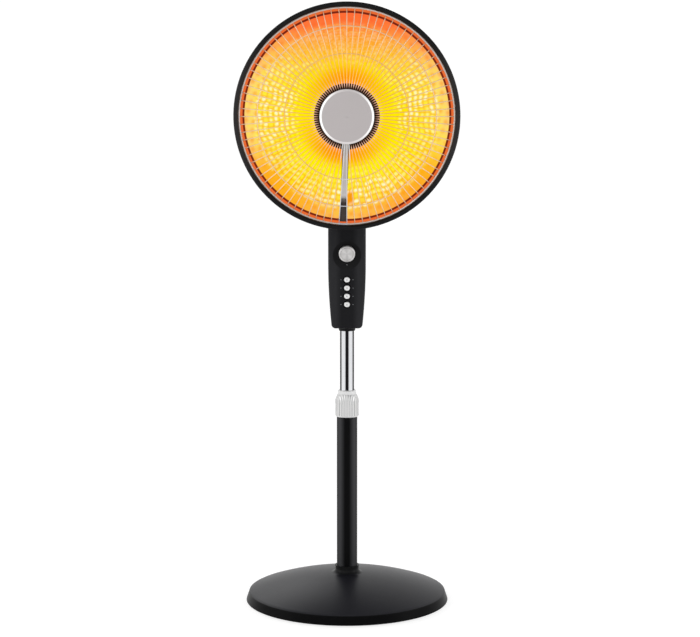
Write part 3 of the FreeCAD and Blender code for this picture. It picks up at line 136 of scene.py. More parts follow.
def screen(red, green, blue):
    """A colour read off a screen, as linear light."""
    tones = np.array([red, green, blue]) / 255
    return tuple(np.where(tones <= 0.04045, tones / 12.92, ((tones + 0.055) / 1.055) ** 2.4))


def smooth_step(value, low, high):
    """0 below low, 1 above high and an even S between."""
    part = np.clip((value - low) / (high - low), 0, 1)
    return part * part * (3 - 2 * part)


def at_least(least, part):
    """A share that rises evenly from the least to 1 as a part goes from 0 to 1."""
    return least + (1 - least) * part


def colour(name, tones, description):
    """A colour setting, given as screen tones."""
    return bpy.props.FloatVectorProperty(name=name, description=description, subtype="COLOR", size=3, min=0, max=1,
                                         default=screen(*tones))


def length(name, value, description):
    """A length setting in metres."""
    return bpy.props.FloatProperty(name=name, description=description, unit="LENGTH", default=value)


def share(name, value, description):
    """A setting for a share of something."""
    return bpy.props.FloatProperty(name=name, description=description, subtype="FACTOR", min=0, max=4, default=value)


def count(name, value, description):
    """A setting for a whole number."""
    return bpy.props.IntProperty(name=name, description=description, min=1, default=value)


def lean(name, value, description):
    """An angle setting in radians."""
    return bpy.props.FloatProperty(name=name, description=description, subtype="ANGLE", default=value)


def number(name, value, description):
    """A plain number setting."""
    return bpy.props.FloatProperty(name=name, description=description, default=value)


class HeaterDishSettings(bpy.types.PropertyGroup):
    """Form of the faceted reflector, and the light painted on it as glow"""
    facet_inner: length("Facets from", 75 * MM, "Radius where the facet rows begin")
    facet_outer: length("Facets to", 152.4 * MM, "Radius where the facet rows end")
    facet_rows: count("Facet rows", 9, "Rows of facets across the dish")
    facets_round: count("Facets round", 100, "Facets in one row")
    facet_steps: count("Facet steps", 5, "Steps of the mesh across a facet")
    # The seed picks each facet's painted brightness and painted highlight.
    facet_seed: count("Facet seed", 7, "Seed of the facets' own brightness and highlights")
    facet_rise: length("Facet rise", 0.55 * MM, "Height of a facet's crown")
    bowl_radius: length("Bowl radius", 164.5 * MM, "Radius where the bowl meets its gutter")
    bowl_depth: length("Bowl depth", 64 * MM, "Depth of the parabola from the bowl's edge")
    gutter: length("Gutter", 3.4 * MM, "Width of the pressed gutter outside the bowl")
    gutter_depth: length("Gutter depth", 2.6 * MM, "Depth of that gutter")
    sheet: length("Sheet", 1 * MM, "Thickness of the reflector")
    # The tones below are painted light, given off as glow: the glowing element's reflection in the dish, painted
    # highlights on the facets, and painted shade in the gutter and between the facets.
    heart: colour("Heart", (255, 152, 0), "Glow behind the element")
    body: colour("Body", (255, 238, 0), "Glow across the inner dish")
    band: colour("Band", (255, 234, 74), "Glow of the facet rows")
    edge: colour("Edge", (254, 206, 120), "Glow next to the rim")
    top: colour("Top", (255, 92, 44), "Redder glow at the top of the dish")
    flange: colour("Flange", (232, 104, 48), "Light on the flange outside the gutter")
    shadow: colour("Shadow", (116, 32, 18), "Dark of the gutter")
    seam: colour("Seam", (250, 152, 10), "Between the facets")
    glint: colour("Glint", (255, 238, 30), "Lighter facets")
    spark: colour("Spark", (255, 252, 206), "Highlights on the facets")
    arc: colour("Arc", (255, 206, 122), "Light lines between the upper rows")
    mirror: colour("Mirror", (34, 20, 8), "What the dish adds of the room's light")
    # Lobes of painted highlights, and a painted reflection of the strut's foot.
    lobe_count: number("Lobes", 3.5, "Lobes of brighter facets that would fit in a full turn")
    lobe_start: lean("First lobe", 1.22, "Angle of the first lobe from the top")
    echo_side: length("Echo aside", 5.5 * MM, "Distance of the strut's mirrored foot from the middle")
    echo_drop: length("Echo below", 132 * MM, "Distance of the strut's mirrored foot below the middle")
    echo_width: length("Echo width", 5.5 * MM, "Half the width of the strut's mirrored foot")
    echo_height: length("Echo height", 11 * MM, "Half the height of the strut's mirrored foot")
    glow: share("Glow", 1.0, "Strength of the glow")
    strut_lean: lean("Strut lean", math.pi / GUARD_WIRES, "Turn of the strut from the upright, half a wire's pitch")


class HeaterFinishSettings(bpy.types.PropertyGroup):
    """Colours of the finishes, and of the light and shade painted on them"""
    black: colour("Black plastic", (15, 15, 16), "Moulded black parts")
    # Painted shade round the buttons and down the pole.
    painted_shade: colour("Recess", (7, 7, 8), "Sockets of the buttons and the dark of the pole")
    # Painted shade in the dip behind the knob.
    dip: colour("Dip", (23, 23, 24), "Round dip behind the knob")
    # Painted sheen down the pole's sides.
    sheen: colour("Sheen", (58, 58, 60), "Soft light down the sides of the pole")
    # Painted soft light on the trim ring's sides.
    rim: colour("Rim", (40, 38, 38), "Sides of the trim ring")
    face: colour("Box face", (25, 25, 27), "Front of the control box")
    # Painted soft light on the control box's sides.
    side: colour("Box sides", (40, 40, 42), "Soft light on the sides of the control box")
    # Painted light on the base's dome, a painted highlight along the top of its skirt, and painted shade on the skirt.
    dome: colour("Base dome", (26, 26, 31), "Top of the base")
    edge: colour("Base edge", (38, 38, 42), "Light along the top of the skirt")
    ink_and_skirt_shade: colour("Skirt", (3, 3, 4), "Dark skirt of the base")
    enamel: colour("Black paint", (14, 14, 15), "Painted metal")
    silver: colour("Spun metal", (205, 203, 202), "Knob")
    cap: colour("Cap", (178, 172, 172), "Brushed centre cap")
    # Painted highlights on the cap's bevel, bright at its sides and soft at its top and foot.
    bevel: colour("Cap bevel", (250, 250, 250), "Edge of the centre cap at its sides")
    soft_bevel: colour("Soft bevel", (214, 209, 209), "Edge of the centre cap at its top and foot")
    # The wires' tones hold painted light: warm from the dish, rosy over the shield, dusky with painted shade at the
    # cap's edge, and a pale painted reflection along the strut.
    bright: colour("Plated wire", (236, 206, 172), "Guard wires and rings, warmed by the dish")
    rim_wire: colour("Rim wire", (206, 194, 190), "Outer ring of the guard")
    rose: colour("Rosy wire", (236, 186, 160), "Guard wires over the dark shield")
    dusk: colour("Dusky wire", (74, 44, 32), "Guard wires at the cap's edge")
    warm: colour("Warm wire", (240, 186, 84), "Guard wires over the heart of the dish")
    pale_wire: colour("Pale wire", (208, 211, 219), "Guard wires along the strut")
    chrome: colour("Chrome", (222, 223, 226), "Telescopic tube")
    collar: colour("Collar", (240, 240, 239), "Silver lock collar")
    # Painted shade between the collar's ribs.
    groove: colour("Groove", (142, 142, 144), "Between the collar's ribs")
    ring: colour("Ring", (212, 212, 212), "Plain rings of the collar")
    # Painted dark reflections in the chrome.
    dark_reflection: colour("Smoke", (22, 22, 24), "Dark streaks in the chrome")
    button: colour("Button", (222, 222, 222), "Push buttons")
    zinc: colour("Zinc", (190, 190, 192), "Screws, bolts and washers")
    # Painted shade on the element shield.
    shield_shade: colour("Heat stain", (22, 10, 7), "Element shield")
    # Painted shade on the lower strut.
    strut: colour("Strut", (60, 50, 46), "Lower element strut")
    strip: colour("Strip", (192, 190, 190), "Cover strip on the strut")
    strip_end: colour("Strip end", (132, 128, 126), "Where the strip meets the bare strut")
    ceramic: colour("Ceramic", (226, 210, 184), "Element core")
    glow_wire: colour("Glowing wire", (255, 120, 30), "Heating coil")
    glow_strength: share("Coil glow", 2.0, "Strength of the coil's light")
    pale: colour("Inner plastic", (222, 216, 204), "Natural plastic inside the box")
    iron: colour("Iron", (70, 68, 66), "Cast weight")
    rubber: colour("Rubber", (38, 38, 38), "Feet")
    sleeve: colour("Sleeve", (62, 52, 48), "Sleeves of the element's leads")
    sign: colour("Sign", (92, 94, 97), "Strokes on the buttons")
    print_tone: colour("Print", (122, 124, 126), "Printed marks")
    skirt_gloss: share("Skirt gloss", 0.045, "Gloss of the base's skirt")
    dome_gloss: share("Dome gloss", 0.055, "Gloss that the base's dome has beyond the skirt's")
    ring_foot: length("Foot ring", 2.4 * MM, "Height of the plain ring at the collar's foot")
    ring_head: length("Head ring", 7 * MM, "Height of the plain ring at the collar's head")
    ring_edge: length("Ring edge", 0.4 * MM, "Height over which the ribs change to a plain ring")
    strip_fade: length("Strip fade", 5 * MM, "Length over which the strip darkens towards its end")
    strut_fade: length("Strut fade", 7 * MM, "Length below the strip over which the strut gets dark")


class HeaterMarkSettings(bpy.types.PropertyGroup):
    """Printed marks on the control box"""
    # The dip behind the knob gets painted shade.
    dip: length("Dip", 24 * MM, "Radius of the round dip behind the knob")
    dip_height: length("Dip height", 589.2 * MM, "Height of the dip above the floor")
    # A painted shadow fills the socket round each button.
    socket: length("Socket", 7.2 * MM, "Radius of the dark socket round a button")
    dot: length("Dot", 0.9 * MM, "Radius of the timer's zero dot")
    dot_height: length("Dot height", 573.3 * MM, "Height of the dot above the floor")
    dot_depth: length("Dot depth", 0.92 * MM, "How far the dip behind the knob lies below the front there")
    bar_width: length("Bar width", 1.5 * MM, "Width of a button's bar")
    bar_height: length("Bar height", 1.1 * MM, "Height of a button's bar")
    bar_offset: length("Bar offset", 10 * MM, "Distance of a bar from the button's middle")
    sign_width: length("Sign width", 1.1 * MM, "Width of the stroke on a button")
    sign_height: length("Sign height", 3.6 * MM, "Height of the stroke on a button")
    proud: length("Proud", 0.06 * MM, "How far the print stands off the plastic")


class HeaterStageSettings(bpy.types.PropertyGroup):
    """Camera, floor and light"""
    camera_back: length("Camera back", 3.0753, "Distance of the camera in front of the pole")
    camera_side: length("Camera side", 0.0050, "How far right of the pole the camera stands")
    camera_height: length("Camera height", 0.8474, "Height of the camera")
    camera_tilt: lean("Camera tilt", 0.1186, "How far the camera looks down")
    focal: number("Focal length", 95.15, "In millimetres on a 36 mm wide sensor")
    floor: colour("Floor", (160, 160, 160), "What the floor and backdrop give back of the light")
    floor_size: length("Floor size", 12, "Width of the floor")
    key_power: number("Key light", 11, "Power of the large soft light in watts")
    fill_power: number("Fill light", 7, "Power of each side and back light in watts")
    sky: share("Sky", 0.3, "Strength of the even light all round")
    floor_lift: share("Floor lift", 0.74, "Light that the floor gives of its own, so that it stays white")


class Finish:
    """A material with one principled shader, and the patterns that colour it"""

    def __init__(self, name, tone, metallic=0.0, gloss=0.5, roughness=0.4):
        """Start with one even tone."""
        self.material = bpy.data.materials.new(name)
        self.material.use_nodes = True
        self.nodes, self.links = self.material.node_tree.nodes, self.material.node_tree.links
        self.inputs = self.nodes["Principled BSDF"].inputs
        self.inputs["Base Color"].default_value = (*tone, 1)
        self.inputs["Metallic"].default_value = metallic
        self.inputs["Roughness"].default_value = roughness
        self.inputs["Specular IOR Level"].default_value = gloss

    def lit(self, tone, strength):
        """Give off light of a tone."""
        self.inputs["Emission Color"].default_value = tone
        self.inputs["Emission Strength"].default_value = strength

    def place(self, shift=(0, 0, 0), turn=(0, 0, 0), scale=(1, 1, 1)):
        """Object coordinates, scaled, turned and shifted so that a pattern is centred on a piece."""
        where = self.nodes.new("ShaderNodeTexCoord")
        mapping = self.nodes.new("ShaderNodeMapping")
        mapping.inputs["Location"].default_value = shift
        mapping.inputs["Rotation"].default_value = turn
        mapping.inputs["Scale"].default_value = scale
        self.links.new(where.outputs["Object"], mapping.inputs["Vector"])
        return mapping.outputs["Vector"]

    def reckon(self, kind, value, other=0):
        """A math node of one kind on a value and a number or a second value."""
        result = self.nodes.new("ShaderNodeMath")
        result.operation = kind
        self.links.new(value, result.inputs[0])
        if isinstance(other, bpy.types.NodeSocket):
            self.links.new(other, result.inputs[1])
        else:
            result.inputs[1].default_value = other
        return result.outputs["Value"]

    def gradient(self, kind, where):
        """A gradient of one kind: by the angle round an axis, or by the distance from a point."""
        pattern = self.nodes.new("ShaderNodeTexGradient")
        pattern.gradient_type = kind
        self.links.new(where, pattern.inputs["Vector"])
        return pattern.outputs["Fac"]

    def inward(self, node, radius=None, height=None):
        """How far inside a round front a point lies: 0 at its edge and beyond, 1 on its axis."""
        low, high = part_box(node)
        size = 1 / (radius or (high[0] - low[0]) / 2)
        shift = (0, 0, -(height or middle(node)[2]) * size)
        return self.gradient("SPHERICAL", self.place(shift, scale=(size, 0, size)))

    def turned(self, turns):
        """How far round its upright axis a point lies, from 0 to 1 in each of so many equal turns."""
        return self.reckon("FRACT", self.reckon("MULTIPLY", self.gradient("RADIAL", self.place()), turns))

    def level(self, turn=(0, 0, 0), shift=(0, 0, 0)):
        """A point's place along each axis, after a turn and a shift."""
        apart = self.nodes.new("ShaderNodeSeparateXYZ")
        self.links.new(self.place(shift, turn), apart.inputs["Vector"])
        return apart.outputs

    def step(self, value, low, high):
        """0 for a value below low, 1 above high and an even rise between."""
        rise = self.nodes.new("ShaderNodeMapRange")
        rise.inputs["From Min"].default_value = low
        rise.inputs["From Max"].default_value = high
        self.links.new(value, rise.inputs["Value"])
        return rise.outputs["Result"]

    def blend(self, value, stops):
        """Colour the surface by a value, through stops of (value, colour)."""
        ramp = self.nodes.new("ShaderNodeValToRGB")
        elements = ramp.color_ramp.elements
        elements[0].position, elements[1].position = stops[0][0], stops[-1][0]
        for position, _ in stops[1:-1]:
            elements.new(position)
        for element, (_, tone) in zip(elements, stops):
            element.color = (*tone, 1)
        self.links.new(value, ramp.inputs["Fac"])
        self.links.new(ramp.outputs["Color"], self.inputs["Base Color"])

    def mix_in(self, part, tone):
        """Turn the colour that the surface has so far towards a tone, by a part from 0 to 1."""
        mix = self.nodes.new("ShaderNodeMix")
        mix.data_type = "RGBA"
        self.links.new(self.inputs["Base Color"].links[0].from_socket, mix.inputs["A"])
        mix.inputs["B"].default_value = (*tone, 1)
        self.links.new(part, mix.inputs["Factor"])
        self.links.new(mix.outputs["Result"], self.inputs["Base Color"])

    def streak(self, box, stops):
        """Painted upright streaks of light and shade: the colour goes by the distance from the middle plane, as a share
        of half the width.
        """
        reach = self.reckon("ABSOLUTE", self.level()["X"])
        self.blend(self.reckon("DIVIDE", reach, (box[1][0] - box[0][0]) / 2), stops)

    def emboss(self, height, strength, depth):
        """Raise the surface by a depth where the height is 1."""
        bump = self.nodes.new("ShaderNodeBump")
        bump.inputs["Strength"].default_value = strength
        bump.inputs["Distance"].default_value = depth
        self.links.new(height, bump.inputs["Height"])
        self.links.new(bump.outputs["Normal"], self.inputs["Normal"])

    def grain(self, kind):
        """Fine noise that varies the roughness from low to high and raises the surface. Returns the material."""
        scale, low, high, depth, *stretch = GRAINS[kind]
        noise = self.nodes.new("ShaderNodeTexNoise")
        noise.inputs["Scale"].default_value = scale
        noise.inputs["Detail"].default_value = NOISE_DETAIL
        self.links.new(self.place(scale=stretch[0] if stretch else (1, 1, 1)), noise.inputs["Vector"])
        spread = self.nodes.new("ShaderNodeMapRange")
        spread.inputs["To Min"].default_value = low
        spread.inputs["To Max"].default_value = high
        self.links.new(noise.outputs["Fac"], spread.inputs["Value"])
        self.links.new(spread.outputs["Result"], self.inputs["Roughness"])
        self.emboss(noise.outputs["Fac"], NOISE_STRENGTH, depth)
        return self.material


def dress(material, *node_names):
    """Give CAD nodes a material."""
    for name in node_names:
        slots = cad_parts[name].data.materials
        slots.clear()
        slots.append(material)


def ring_mesh(name, rings, *poles):
    """A mesh from rings of points, each closed round. The first pole closes the first ring, a second one the last."""
    rows, columns = rings.shape[:2]
    here = np.arange(columns)
    after = (here + 1) % columns
    row = columns * np.arange(rows - 1)[:, None]
    sides = np.stack([row + here, row + after, row + columns + after, row + columns + here], axis=-1).reshape(-1, 4)
    first, last = rows * columns, columns * (rows - 1)
    fans = [np.stack([np.full(columns, first), after, here], axis=-1),
            np.stack([np.full(columns, first + 1), last + here, last + after], axis=-1)]
    ends = np.concatenate(fans[:len(poles)])
    mesh = bpy.data.meshes.new(name)
    mesh.from_pydata(np.concatenate([rings.reshape(-1, 3), poles]), [], sides.tolist() + ends.tolist())
    return mesh


def new_piece(name, mesh, body, material):
    """Put a mesh in the scene as a piece that moves with a body."""
    mesh.materials.append(material)
    piece = bpy.data.objects.new(name, mesh)
    bpy.context.scene.collection.objects.link(piece)
    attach(piece, body)
    return piece


class HEATER_OT_reflector(bpy.types.Operator):
    """Press the dish: a parabola with rows of pillow facets laid like bricks, a gutter and a flange, with painted light
    given off as glow
    """
    bl_idname = "heater.reflector"
    bl_label = "Reflector"

    def radii(self, dish, flange_radius):
        """Radii of the mesh's rings: plain inner dish, facet rows, outer dish, gutter walls and flange."""
        inner = np.linspace(0, dish.facet_inner, INNER_RINGS)[1:-1]
        facet = np.linspace(dish.facet_inner, dish.facet_outer, dish.facet_rows * dish.facet_steps + 1)
        outer = np.linspace(dish.facet_outer, dish.bowl_radius, OUTER_RINGS)[1:]
        gutter = dish.bowl_radius + dish.gutter * np.array([0.05, 0.95, 1.0])
        flange = np.linspace(dish.bowl_radius + dish.gutter, flange_radius, FLANGE_RINGS)[1:]
        return np.concatenate([inner, facet, outer, gutter, flange])

    def cells(self, dish, reach, angle, row_step):
        """Row and cell of each point. The rows wander in slow waves and zigzag overhead.

        Every other row is moved by half a cell, and all of them a little by a slow wave of their own.
        """
        wander = sum(size * np.sin(waves * angle + start) for size, waves, start in ROW_WAVES)
        zigzag = ZIGZAG * np.abs(np.sin(dish.facets_round * angle / ZIGZAG_CELLS)) * np.maximum(np.cos(angle), 0)
        row = (reach - dish.facet_inner) / row_step + wander - zigzag
        drift = DRIFT * np.sin(DRIFT_WAVES * angle + DRIFT_START * np.floor(row))
        shift = BRICK_SHIFT * (np.floor(row) % 2) + drift
        return row, angle * dish.facets_round / (2 * math.pi) + shift

    def toward(self, light, tone, part):
        """Light mixed with a tone by a part from 0 to 1."""
        return light + (np.array(tone) - light) * part[..., None]

    def beside(self, angle):
        """1 at the sides of the dish and below, falling to 0 overhead."""
        return 1 - smooth_step(np.cos(angle), *OVERHEAD_TURN)

    def lobes(self, dish, angle):
        """Wave round the dish, 1 in the lobes of painted highlights at both sides and the foot, -1 between them, 0
        overhead.
        """
        return np.cos(dish.lobe_count * (angle - dish.lobe_start)) * self.beside(angle)

    def smooth_light(self, dish, reach, angle):
        """Painted light of the dish without its facets, from the heart through the body and the band to the edge."""
        up, aside, out = np.cos(angle), np.sin(angle), reach / dish.bowl_radius
        tones = np.array([dish.body, dish.band, dish.edge])
        light = np.stack([np.interp(out, TONES_AT, tone) for tone in tones.T], axis=-1)
        # The heart reaches further up and down than aside, and further to the lower left.
        lower_left = np.maximum(-up, 0) * np.maximum(-aside, 0)
        heart = HEART_ROUND + HEART_UPRIGHT * up ** 2 + HEART_LOWER_LEFT * lower_left
        light = self.toward(light, dish.heart, heart * (1 - smooth_step(out, *HEART_SPAN)))
        # Outside the facets the sheet is dented: two crossed waves paint light and shade on it in patches.
        dents = np.sin(41 * angle + 30 * out) * np.sin(23 * angle - 50 * out) * (out > DENTS_FROM)
        light = self.toward(light, dish.seam, DENT_DARK * np.maximum(dents, 0))
        light = self.toward(light, dish.glint, DENT_LIGHT * np.maximum(-dents, 0))
        # The painted light is redder towards the top, deeper yellow between the lobes and more orange at the edge
        # below.
        light = self.toward(light, dish.top, TOP_PART * smooth_step(up * out, *TOP_SPAN))
        between = np.maximum(-self.lobes(dish, angle), 0) * smooth_step(out, *BETWEEN_SPAN)
        light = self.toward(light, dish.body, BETWEEN_PART * between)
        foot = smooth_step(-up, *FOOT_TURN) * smooth_step(out, *FOOT_SPAN)
        return self.toward(light, dish.heart, (FOOT_PART + FOOT_SIDES * np.abs(np.sin(2 * angle))) * foot)

    def facet_light(self, dish, light, row, cell, across, along, fade, angle):
        """Each facet has its own painted brightness and a painted highlight, which is stronger in the lobes and further
        out.

        The seams get painted shade, and painted light overhead. The facets begin further out towards the foot.
        """
        chance = np.random.default_rng(dish.facet_seed)
        table = chance.random((4, dish.facet_rows + 1, dish.facets_round + 1))
        row_at = np.clip(np.floor(row).astype(int), 0, dish.facet_rows)
        cell_at = np.floor(cell).astype(int) % dish.facets_round
        brightness, spark, aside, up = table[:, row_at, cell_at]
        plateau = (1 - across ** 4) * (1 - along ** 4)
        begun = smooth_step(row - LATE_ROWS * smooth_step(-np.cos(angle), *LATE_TURN), *BEGIN_SPAN)
        beside = self.beside(angle)
        wave = PATCH_WAVE * np.sin(PATCH_WAVES * angle + PATCH_TWIST * row)
        patch = PATCH + PATCH_LOBES * self.lobes(dish, angle) + wave
        over, off = across - SPOT_WANDER * (up - 0.5), along - SPOT_WANDER * (aside - 0.5)
        spot = np.exp(-(over ** 2) / SPOT_TALL - off ** 2 / SPOT_WIDE)
        shine = np.clip(SPARK_GAIN * spot * smooth_step(spark, *SPARK_SPAN), 0, 1) * plateau
        shine = np.minimum(shine * patch, 1) * at_least(FIRST_SHINE, begun) * at_least(OVERHEAD_SHINE, beside)
        glint = brightness * plateau * beside * at_least(FIRST_GLINT, begun)
        line = smooth_step(np.abs(across), *ARC_SPAN)
        lit = self.toward(light, dish.seam, SEAM_PART * begun * (1 - plateau))
        lit = self.toward(lit, dish.glint, GLINT_PART * glint)
        lit = self.toward(lit, dish.spark, shine)
        lit = self.toward(lit, dish.arc, ARC_PART * begun * line * (1 - beside))
        return light + (lit - light) * fade[..., None]

    def echo_light(self, dish, light, reach, angle):
        """A painted reflection of the strut's foot beside it: a small orange patch with soft edges."""
        aside = (reach * np.sin(angle) - dish.echo_side) / dish.echo_width
        below = (reach * np.cos(angle) + dish.echo_drop) / dish.echo_height
        return self.toward(light, dish.seam, np.exp(-(aside ** 4) - below ** 4))

    def execute(self, context):
        dish, hair = context.scene.heater_dish, 1e-6
        low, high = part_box("reflector")
        centre, front, flange_radius = middle("reflector"), low[1], (high[0] - low[0]) / 2
        row_step = (dish.facet_outer - dish.facet_inner) / dish.facet_rows
        around = np.linspace(0, 2 * math.pi, dish.facets_round * dish.facet_steps, endpoint=False)
        reach, angle = np.meshgrid(self.radii(dish, flange_radius), around, indexing="ij")
        row, cell = self.cells(dish, reach, angle, row_step)
        across, along = 2 * (row % 1) - 1, 2 * (cell % 1) - 1
        # The facets fade in and out over a row's width at the edges of their band.
        fade = smooth_step(reach, dish.facet_inner, dish.facet_inner + row_step)
        fade = fade * (1 - smooth_step(reach, dish.facet_outer - row_step, dish.facet_outer))
        # The bowl is a parabola. In the facet band each cell adds a pillow that falls to nothing at its edges.
        pillow = fade * (1 - across ** 2) * (1 - along ** 2)
        beyond = reach > dish.bowl_radius + hair
        in_gutter = beyond & (reach < dish.bowl_radius + dish.gutter - hair)
        depth = dish.bowl_depth * (1 - np.minimum(reach / dish.bowl_radius, 1) ** 2)
        depth = depth - dish.facet_rise * pillow + dish.gutter_depth * in_gutter
        points = np.stack([centre[0] + reach * np.sin(angle), front + depth,
                           centre[2] + reach * np.cos(angle)], axis=-1)
        mesh = ring_mesh("reflector_facets", points, (centre[0], front + dish.bowl_depth, centre[2]))
        # Painted light: the glowing element's reflection, the facets' highlights and shade, and the strut's reflection.
        light = self.smooth_light(dish, reach, angle)
        light = self.facet_light(dish, light, row, cell, across, along, fade, angle)
        light = self.echo_light(dish, light, reach, angle)
        # Painted light on the flange and painted shade in the gutter.
        light = np.where(beyond[..., None], np.array(dish.flange), light)
        light = np.where(in_gutter[..., None], np.array(dish.shadow), light)
        light = np.concatenate([light.reshape(-1, 3), [dish.heart]])
        alpha = np.ones((len(light), 1))
        attribute = mesh.color_attributes.new("glow", "FLOAT_COLOR", "POINT")
        attribute.data.foreach_set("color", np.concatenate([light, alpha], axis=-1).astype(np.float32).ravel())
        mesh.shade_smooth()
        # The painted light is given off as glow, over dark metal that reflects the room.
        mirror = Finish("lit_reflector", dish.mirror, metallic=1.0, roughness=0.3)
        glow = mirror.nodes.new("ShaderNodeAttribute")
        glow.attribute_name = "glow"
        mirror.links.new(glow.outputs["Color"], mirror.inputs["Emission Color"])
        mirror.inputs["Emission Strength"].default_value = dish.glow
        piece = new_piece("reflector_facets", mesh, "head", mirror.material)
        wall = piece.modifiers.new("Sheet", "SOLIDIFY")
        wall.thickness = dish.sheet
        wall.offset = -1
        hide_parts("reflector")
        return {"FINISHED"}


class HEATER_OT_marks(bpy.types.Operator):
    """Print the timer's zero dot, a stroke on every button and a short bar on each side of it"""
    bl_idname = "heater.marks"
    bl_label = "Printed marks"

    def pad(self, name, aside, front, height, half_width, half_height, proud):
        """A closed oval pad: rings that sink from the crown to the edge, then the edge again just under the plastic."""
        reach = np.array([0.25, 0.5, 0.75, 1.0, 1.0])[:, None]
        above = PAD_FOOT + np.array([0.94, 0.75, 0.44, 0.0, -PAD_FOOT])[:, None]
        angle = np.linspace(0, 2 * math.pi, PAD_SECTORS, endpoint=False)
        spots = np.stack([aside + half_width * reach * np.sin(angle), front - proud * above + 0 * angle,
                          height + half_height * reach * np.cos(angle)], axis=-1)
        return ring_mesh(name, spots, (aside, front - proud * (PAD_FOOT + 1), height), (aside, front, height))

    def execute(self, context):
        marks, tones = context.scene.heater_marks, context.scene.heater_finish
        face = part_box("control_front")[0][1]
        pale = Finish("print_ink", tones.print_tone).grain("ink_and_skirt_shade")
        dark = Finish("sign_ink", tones.sign).grain("ink_and_skirt_shade")
        dot = self.pad("timer_dot", 0, face + marks.dot_depth, marks.dot_height, marks.dot, marks.dot, marks.proud)
        new_piece("timer_dot", dot, "mast", pale)
        # Each button has a stroke of its own and a short bar on either side.
        for index in BUTTONS:
            button, height = f"push_button_{index}", middle(f"push_button_{index}")[2]
            pads = (("left", "mast", -marks.bar_offset, face, marks.bar_width, marks.bar_height, pale),
                    ("right", "mast", marks.bar_offset, face, marks.bar_width, marks.bar_height, pale),
                    ("sign", button, 0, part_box(button)[0][1], marks.sign_width, marks.sign_height, dark))
            for label, body, aside, front, width, tall, ink_and_skirt_shade in pads:
                name = f"button_{label}_{index}"
                mesh = self.pad(name, aside, front, height, width / 2, tall / 2, marks.proud)
                new_piece(name, mesh, body, ink_and_skirt_shade)
        return {"FINISHED"}


class HEATER_OT_blacks(bpy.types.Operator):
    """Finish the black plastic, the paint and the rubber, with painted light and shade on the box, rim, base and pole
    """
    bl_idname = "heater.blacks"
    bl_label = "Black parts"

    def front(self, marks, tones):
        """Moulded black with painted light towards its sides, and painted shade in the round dip behind the knob and in
        the sockets of the buttons.
        """
        front = Finish("moulded_front", tones.face, gloss=0.05)
        # Painted soft light towards the box's sides.
        front.streak(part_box("control_front"), [(0.0, tones.face), (0.3, tones.face), (0.6, tones.side),
                                               (1.0, tones.side)])
        # Painted shade in the dip behind the knob.
        dip = front.inward("control_front", marks.dip, marks.dip_height)
        front.mix_in(front.step(dip, 0.0, 0.06), tones.dip)
        # A painted shadow round each button.
        for index in BUTTONS:
            socket = front.inward("control_front", marks.socket, middle(f"push_button_{index}")[2])
            front.mix_in(front.step(socket, 0.0, 0.12), tones.painted_shade)
        return front.grain("mould")

    def rim(self, tones):
        """Moulded black with a painted soft light at its sides."""
        rim = Finish("moulded_rim", tones.black, gloss=0.1)
        # Painted soft light at the ring's sides.
        rim.streak(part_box("trim_ring"), [(0.0, tones.black), (0.75, tones.black), (0.94, tones.rim), (1.0, tones.rim)])
        return rim.grain("mould")

    def cover(self, tones):
        """Moulded black that goes by height: a dull skirt, dark with painted shade, an edge with a painted highlight,
        and the glossier dome with painted light.
        """
        cover = Finish("moulded_base", tones.black, gloss=0.1)
        rise = cover.reckon("DIVIDE", cover.level()["Z"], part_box("base_cover")[1][2])
        # Painted shade on the skirt, a painted highlight along its top and painted light on the dome.
        cover.blend(rise, [(0.0, tones.ink_and_skirt_shade), (0.265, tones.ink_and_skirt_shade), (0.285, tones.edge), (0.31, tones.dome),
                           (0.77, tones.dome), (0.82, tones.black), (1.0, tones.black)])
        gloss = cover.reckon("MULTIPLY", cover.step(rise, 0.25, 0.3), tones.dome_gloss)
        gloss = cover.reckon("ADD", gloss, tones.skirt_gloss)
        cover.links.new(gloss, cover.inputs["Specular IOR Level"])
        return cover.grain("mould")

    def pole(self, tones):
        """Dark paint with painted shade and four soft streaks of painted sheen round the pole."""
        pole = Finish("painted_sheen_pole", tones.painted_shade, gloss=0.04)
        # Painted shade with four streaks of painted sheen.
        pole.blend(pole.turned(4), [(0.0, tones.painted_shade), (0.14, tones.painted_shade), (0.44, tones.sheen),
                                    (0.56, tones.sheen), (0.86, tones.painted_shade), (1.0, tones.painted_shade)])
        return pole.grain("satin")

    def execute(self, context):
        tones = context.scene.heater_finish
        dress(Finish("moulded_black", tones.black, gloss=0.1).grain("mould"), "neck_bush", "control_rear", "cord_gland",
              "swivel_turret", "tilt_knob", "rear_cover")
        dress(self.rim(tones), "trim_ring")
        dress(self.cover(tones), "base_cover")
        dress(self.front(context.scene.heater_marks, tones), "control_front")
        dress(Finish("baked_black_paint", tones.enamel, gloss=0.12).grain("paint"), "head_bracket", "rear_shell",
              "base_plate")
        dress(self.pole(tones), "pole")
        dress(Finish("foot_rubber", tones.rubber).grain("rubber"), "base_feet")
        dress(Finish("cast_weight", tones.iron, metallic=0.6).grain("cast"), "base_weight")
        return {"FINISHED"}


